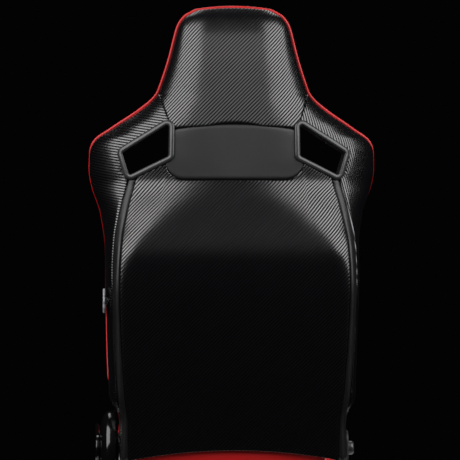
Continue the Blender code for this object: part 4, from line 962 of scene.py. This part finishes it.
class SEAT_OT_back_pads(bpy.types.Operator):
    """Red padded front of the back: insert, bolsters, shoulder pads and headrest"""

    bl_idname = "seat.back_pads"
    bl_label = "Back pads"

    def execute(self, context):
        edge = piping_path()
        add_pad("insert_pad", "back_insert", "backrest")
        add_pad("headrest_cushion", "headrest_pad", "backrest", edge, shape=crown_shape)
        for word, side in SIDES:
            add_pad("bolster_pad_" + word, "back_bolster_" + word, "backrest", edge, shape=bolster_shape)
            rim = []
            for point in slot_outline(0.0):
                rim.append(Vector((side * point.x, bolster_depth(point.x, point.y), point.y)) + AXIS)
            name, node = "shoulder_cushion_" + word, "shoulder_pad_" + word
            add_pad(name, node, "backrest", edge + rim, shape=shoulder_shape)
        return {"FINISHED"}


class SEAT_OT_cushion(bpy.types.Operator):
    """Red seat cushion: insert, two thigh bolsters and the skirt behind it"""

    bl_idname = "seat.cushion"
    bl_label = "Seat cushion"

    def execute(self, context):
        add_pad("seat_pad", "seat_insert", "seat_base")
        for word, _ in SIDES:
            add_pad("thigh_bolster_" + word, "seat_bolster_" + word, "seat_base", shape=thigh_shape)
        add_pad("rear_skirt", "seat_rear_skirt", "seat_base", soften=4)
        return {"FINISHED"}


def round_top(obj, top, radius):
    """Bevels a plate's two upper corners into arcs."""
    near, thin = 0.0005, 0.002
    select_only(obj)
    bpy.ops.object.mode_set(mode="EDIT")
    bpy.ops.mesh.select_mode(type="EDGE")
    bpy.ops.mesh.select_all(action="DESELECT")
    bpy.ops.object.mode_set(mode="OBJECT")
    for edge in obj.data.edges:
        a, b = (obj.data.vertices[k].co for k in edge.vertices)
        edge.select = min(a.z, b.z) > top - near and abs(a.x - b.x) > thin and abs(a.y - b.y) < near
    bpy.ops.object.mode_set(mode="EDIT")
    bpy.ops.mesh.bevel(offset=radius, segments=10, affect="EDGES")
    bpy.ops.mesh.select_mode(type="VERT")
    bpy.ops.object.mode_set(mode="OBJECT")


class SEAT_OT_recliner(bpy.types.Operator):
    """Recliner brackets, the domed cover and its lever at the left, the pivot cap at the right"""

    bl_idname = "seat.recliner"
    bl_label = "Recliner"

    def execute(self, context):
        low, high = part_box("recliner_cover")
        radius, deep = (high.z - low.z) / 2, high.x - low.x
        lip, wall, dome = 0.001, 0.36, 0.58
        profile = [(radius - 3 * lip, 0.0), (radius - lip, 0.0), (radius, lip), (radius, wall * deep)]
        profile += rounded_end(radius, 0.034, deep, wall, dome, 10)
        profile += [(0.034, deep * 0.97), (0.030, deep * 0.99), (0.006, deep)]
        cover = add_lathe("recliner_dome", profile, (high.x, AXIS.y, AXIS.z), -1, 96)
        hand_over(cover, "polished_abs", "seat_base", "recliner_cover", 40)

        low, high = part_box("pivot_cap")
        radius, deep = (high.z - low.z) / 2, high.x - low.x
        profile = [(radius, 0.0), (radius, deep * 0.5), *rounded_end(radius, 0.005, deep, 0.5, 0.5, 6)]
        profile += [(radius * 0.45, deep), (radius * 0.40, deep * 0.92)]
        cap = add_lathe("pivot_cover", profile, (low.x, AXIS.y, AXIS.z), 1, 48)
        hand_over(cap, "moulded_abs", "seat_base", "pivot_cap", 40)

        low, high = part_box("recline_lever")
        hub, tip, tip_radius, edge = 0.027, (0.130, 0.030), 0.012, 0.0029
        outline = [(AXIS.y + y, AXIS.z + z) for y, z in link_outline(hub, tip, tip_radius)]
        lever = add_plate("lever_grip", outline, "X", low.x, high.x, edge, 6)
        hand_over(lever, "polished_abs", "recline_handle", "recline_lever", 40)

        for word, side in SIDES:
            node = "recliner_bracket_" + word
            low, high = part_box(node)
            inner, outer = sorted((abs(low.x), abs(high.x)))
            wall, foot, corner, edge = outer - 0.005, low.z + 0.004, 0.022, 0.0009
            profile = [(inner, low.z), (outer, low.z), (outer, high.z)]
            profile += [(wall, high.z), (wall, foot), (inner, foot)]
            outline = [(side * x, z) for x, z in profile]
            bracket = add_plate("hinge_bracket_" + word, outline, "Y", low.y, high.y)
            round_top(bracket, high.z, corner)
            round_edges(bracket, edge, 3, 40)
            hand_over(bracket, "powder_coat", "seat_base", node, 35)
        return {"FINISHED"}


class SEAT_OT_lumbar_knob(bpy.types.Operator):
    """Lobed grey knob on the left flank that turns the lumbar cam"""

    bl_idname = "seat.lumbar_knob"
    bl_label = "Lumbar knob"

    def execute(self, context):
        low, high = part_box("lumbar_knob")
        pos = Vector(JOINTS["lumbar_turn"]["pos_m"])
        lobe, lobes, room, edge, wall = 0.045, 10, 1.05, 0.001, 0.78
        radius, deep = (high.y - low.y) / 2 / room, high.x - low.x
        neck = deep * 0.48
        profile = [(radius * 0.30, 0.0), (radius * 0.30, neck - edge), (radius * 0.36, neck)]
        profile += [(radius * 0.96, neck), (radius, neck + edge), (radius, deep * wall)]
        profile += rounded_end(radius, 0.0025, deep, wall, 0.22, 6)
        profile += [(radius * 0.66, deep), (radius * 0.60, deep * 0.86), (radius * 0.2, deep * 0.84)]
        knob = add_lathe("lumbar_dial", profile, (high.x, pos.y, pos.z), -1, 120, lobe, lobes)
        hand_over(knob, "knob_abs", "lumbar_handle", "lumbar_knob", 40)
        return {"FINISHED"}


def add_rails(word):
    """A floor rail, open in a slot along its top, and the slider whose foot runs in it."""
    wall, slot_half, foot_half, web, flange, play, edge = 0.002, 0.008, 0.0145, 0.006, 0.004, 0.0008, 0.0006
    low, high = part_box("lower_rail_" + word)
    middle, half, top = (low.x + high.x) / 2, (high.x - low.x) / 2, high.z
    right = [(half, 0.0), (half, top), (slot_half, top), (slot_half, top - wall)]
    right += [(half - wall, top - wall), (half - wall, wall)]
    outline = [(middle + x, low.z + z) for x, z in mirrored(right)]
    rail = add_plate("floor_rail_" + word, outline, "Y", low.y, high.y, edge, 2)
    hand_over(rail, "plated_zinc", "floor_rails", "lower_rail_" + word, 35)
    low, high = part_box("upper_rail_" + word)
    half, foot, seat = (high.x - low.x) / 2, top - wall - play, high.z - flange
    right = [(foot_half, low.z), (foot_half, foot), (web, foot), (web, seat), (half, seat), (half, high.z)]
    outline = [(middle + x, z) for x, z in mirrored(right)]
    slider = add_plate("slider_" + word, outline, "Y", low.y, high.y, edge, 2)
    hand_over(slider, "plated_zinc", "seat_base", "upper_rail_" + word, 35)


def add_release_bar():
    pivot = Vector(JOINTS["release_bar_lift"]["pos_m"])
    _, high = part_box("slide_release_bar")
    radius, bend, half, bush, end = 0.005, 0.025, 0.150, 0.1687, high.x
    reach = high.y - radius - pivot.y
    right = [(bush - radius, 0.0, 0.0), (half, bend, 0.0), (half, reach - 2 * bend, 0.0)]
    right += [(half - bend * 0.4, reach - bend * 0.5, 0.0), (half - 1.6 * bend, reach, 0.0)]
    path = [(end, 0, 0), (bush, 0, 0), *curve_through(mirrored(right), 8), (-bush, 0, 0), (-end, 0, 0)]
    bar = add_tube("release_bar", [Vector(point) + pivot for point in path], radius, 20)
    hand_over(bar, "powder_coat", "slide_bar", "slide_release_bar", 50)


class SEAT_OT_base(bpy.types.Operator):
    """Sliders, seat pan and release bar under the cushion"""

    bl_idname = "seat.base"
    bl_label = "Sliders and pan"

    def execute(self, context):
        for word, _ in SIDES:
            add_rails(word)
            low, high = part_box("pan_side_" + word)
            front, rear = 0.015, 0.020
            outline = [(low.y + rear, low.z), (high.y, low.z), (high.y, high.z - front)]
            outline += [(high.y - front, high.z), (low.y + 1.5 * rear, high.z), (low.y, high.z - rear)]
            plate = add_plate("pan_plate_" + word, outline, "X", low.x, high.x, 0.0008)
            hand_over(plate, "powder_coat", "seat_base", "pan_side_" + word, 35)
        bars = [(f"pan_{place}_tube", f"{place}_tube", "powder_coat") for place in ("front", "rear")]
        bars += [(f"pan_wire_{k}", f"cushion_wire_{k}", "plated_zinc") for k in (1, 2, 3)]
        for node, name, material in bars:
            low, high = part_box(node)
            y, z = (low.y + high.y) / 2, (low.z + high.z) / 2
            bar = add_tube(name, [(low.x, y, z), (0.0, y, z), (high.x, y, z)], (high.z - low.z) / 2, 24)
            hand_over(bar, material, "seat_base", node, 40)
        add_release_bar()
        for word, _ in SIDES:
            for node in ("rail_glide_rear_", "rail_glide_front_", "bar_bush_"):
                dress(frame["nodes"][node + word], "natural_nylon")
        return {"FINISHED"}


class SEAT_OT_inner_frame(bpy.types.Operator):
    """Finishes for the frame, hinge and lumbar pieces that keep their CAD shape"""

    bl_idname = "seat.inner_frame"
    bl_label = "Inner frame"

    def execute(self, context):
        painted = ["headrest_hoop", "upper_crossbar", "lower_crossbar", "lumbar_plate"]
        for word, _ in SIDES:
            painted += ["back_upright_" + word, "recliner_arm_" + word]
        plated = ["back_wire_1", "back_wire_2", "lumbar_cam_shaft"]
        plated += ["recliner_disc", "pivot_pin", "lever_shaft"]
        for material, nodes in (("powder_coat", painted), ("plated_zinc", plated)):
            for node in nodes:
                dress(frame["nodes"][node], material)
        return {"FINISHED"}


def add_floor(colours):
    """A disc of studio vinyl under the seat: pale and matt, with a faint cloud."""
    circle = bpy.ops.mesh.primitive_circle_add
    middle = (0.0, 0.21, -0.0003)
    shape = {"vertices": 96, "radius": 0.52, "fill_type": "NGON", "location": middle}
    floor = add_primitive("studio_floor", circle, **shape)
    material, shader, place, add = new_material("studio_vinyl", {"Roughness": 0.55})
    cloud = add("TexNoise", {"Vector": place, "Scale": 1.2, "Detail": 2.0})
    ends = {6: (*(part * 0.96 for part in colours.floor), 1.0), 7: (*colours.floor, 1.0)}
    tint = add("Mix", {0: cloud, **ends}, data_type="RGBA")
    wire(shader, {"Base Color": tint.outputs[2]})
    floor.data.materials.append(material)


def set_world(scene):
    """Even grey light all round; the eye and mirrors see the dark backdrop instead."""
    world = scene.world or bpy.data.worlds.new("studio")
    scene.world = world
    world.use_nodes = True
    world.node_tree.nodes.clear()
    add = partial(add_node, world.node_tree)
    rays = add("LightPath").outputs
    seen = rays["Is Camera Ray"]
    for kind in ("Is Glossy Ray", "Is Transmission Ray"):
        seen = add("Math", {0: seen, 1: rays[kind]}, operation="MAXIMUM")
    ambient = add("Background", {"Color": (1.0, 1.0, 1.0, 1.0), "Strength": 0.10})
    backdrop = (*scene.seat_colours.backdrop, 1.0)
    dark = add("Background", {"Color": backdrop, "Strength": 1.0})
    mix = add("MixShader", {0: seen, 1: ambient, 2: dark})
    add("OutputWorld", {0: mix})


def add_camera(scene):
    """Level and a little to the left, on a long lens; the frame is as wide as the photograph's."""
    turn, distance, wide, sensor = math.radians(-2.4), 7.0, 0.9007, 36.0
    beside, height = 0.0034, 0.5747
    data = bpy.data.cameras.new("camera")
    data.sensor_width = sensor
    data.lens = sensor * distance / wide
    camera = bpy.data.objects.new("camera", data)
    right = Vector((math.cos(turn), math.sin(turn), 0.0))
    target = right * beside + Vector((0.0, 0.0, height))
    back = Vector((math.sin(turn), -math.cos(turn), 0.0))
    camera.location = target + back * (distance - AXIS.y)
    camera.rotation_euler = (-back).to_track_quat("-Z", "Y").to_euler()
    scene.collection.objects.link(camera)
    scene.camera = camera


class SEAT_OT_stage(bpy.types.Operator):
    """Pale floor, soft studio light and a camera behind the seat"""

    bl_idname = "seat.stage"
    bl_label = "Stage"

    def execute(self, context):
        scene = context.scene
        scene.view_settings.view_transform = "Standard"
        add_floor(scene.seat_colours)
        set_world(scene)
        # name, place, width, height, power and roll in degrees
        lamps = [
            # a broad soft box on either side of the view, leaning out at the top, and a dim one between them
            ("rear_left", (-1.89, -1.46, 1.80), 3.0, 2.6, 100.0, 22),
            ("rear_right", (1.89, -1.46, 1.80), 3.0, 2.6, 100.0, -22),
            ("rear_middle", (0.0, -2.67, 1.80), 1.75, 2.00, 16.0, 0),
            # two fill lights for the front, and a smaller box above it for its highlights
            ("front_left", (-1.7, 2.6, 2.0), 3.0, 2.6, 50.0, 0),
            ("front_right", (1.9, 2.5, 1.9), 3.0, 2.6, 42.0, 0),
            ("front_top", (0.0, 1.7, 2.9), 2.4, 1.6, 24.0, 0),
        ]
        target = Vector((0.0, -0.20, 0.75))
        for name, place, wide, tall, power, lean in lamps:
            data = bpy.data.lights.new(name, "AREA")
            data.shape = "RECTANGLE"
            data.size, data.size_y, data.energy = wide, tall, power
            lamp = bpy.data.objects.new(name, data)
            lamp.location = place
            facing = (target - Vector(place)).to_track_quat("-Z", "Y")
            lamp.rotation_euler = (facing @ Quaternion((0.0, 0.0, 1.0), math.radians(lean))).to_euler()
            lamp.visible_camera = False
            lamp.visible_glossy = name not in ("front_left", "front_right")
            scene.collection.objects.link(lamp)
        # the dim box lights only the headrest and the yoke, so the lower panel's crest shows no band
        upper = bpy.data.collections.new("upper_cover")
        for piece in ("headrest_cover", "yoke"):
            upper.objects.link(bpy.data.objects[piece])
        bpy.data.objects["rear_middle"].light_linking.receiver_collection = upper
        add_camera(scene)
        return {"FINISHED"}


class SEAT_PT_panel(bpy.types.Panel):
    """Lists the seat's sizes, colours and the steps that model it"""

    bl_idname = "SEAT_PT_panel"
    bl_label = "Sport seat"
    bl_space_type = "VIEW_3D"
    bl_region_type = "UI"
    bl_category = "Seat"

    def draw(self, context):
        for group in (context.scene.seat_sizes, context.scene.seat_colours):
            box = self.layout.box()
            for name in group.__annotations__:
                box.prop(group, name)
        for step in STEPS:
            self.layout.operator(step.bl_idname)


STEPS = (
    SEAT_OT_rear_cover,
    SEAT_OT_piping,
    SEAT_OT_bezels,
    SEAT_OT_back_pads,
    SEAT_OT_cushion,
    SEAT_OT_recliner,
    SEAT_OT_lumbar_knob,
    SEAT_OT_base,
    SEAT_OT_inner_frame,
    SEAT_OT_stage,
)
CLASSES = (SeatSizes, SeatColours, *STEPS, SEAT_PT_panel)


def register():
    for item in CLASSES:
        bpy.utils.register_class(item)
    bpy.types.Scene.seat_sizes = bpy.props.PointerProperty(type=SeatSizes)
    bpy.types.Scene.seat_colours = bpy.props.PointerProperty(type=SeatColours)


def unregister():
    del bpy.types.Scene.seat_colours
    del bpy.types.Scene.seat_sizes
    for item in reversed(CLASSES):
        bpy.utils.unregister_class(item)


def main():
    register()
    bpy.ops.seat.rear_cover()
    bpy.ops.seat.piping()
    bpy.ops.seat.bezels()
    bpy.ops.seat.back_pads()
    bpy.ops.seat.cushion()
    bpy.ops.seat.recliner()
    bpy.ops.seat.lumbar_knob()
    bpy.ops.seat.base()
    bpy.ops.seat.inner_frame()
    bpy.ops.seat.stage()


if __name__ == "__main__":
    main()
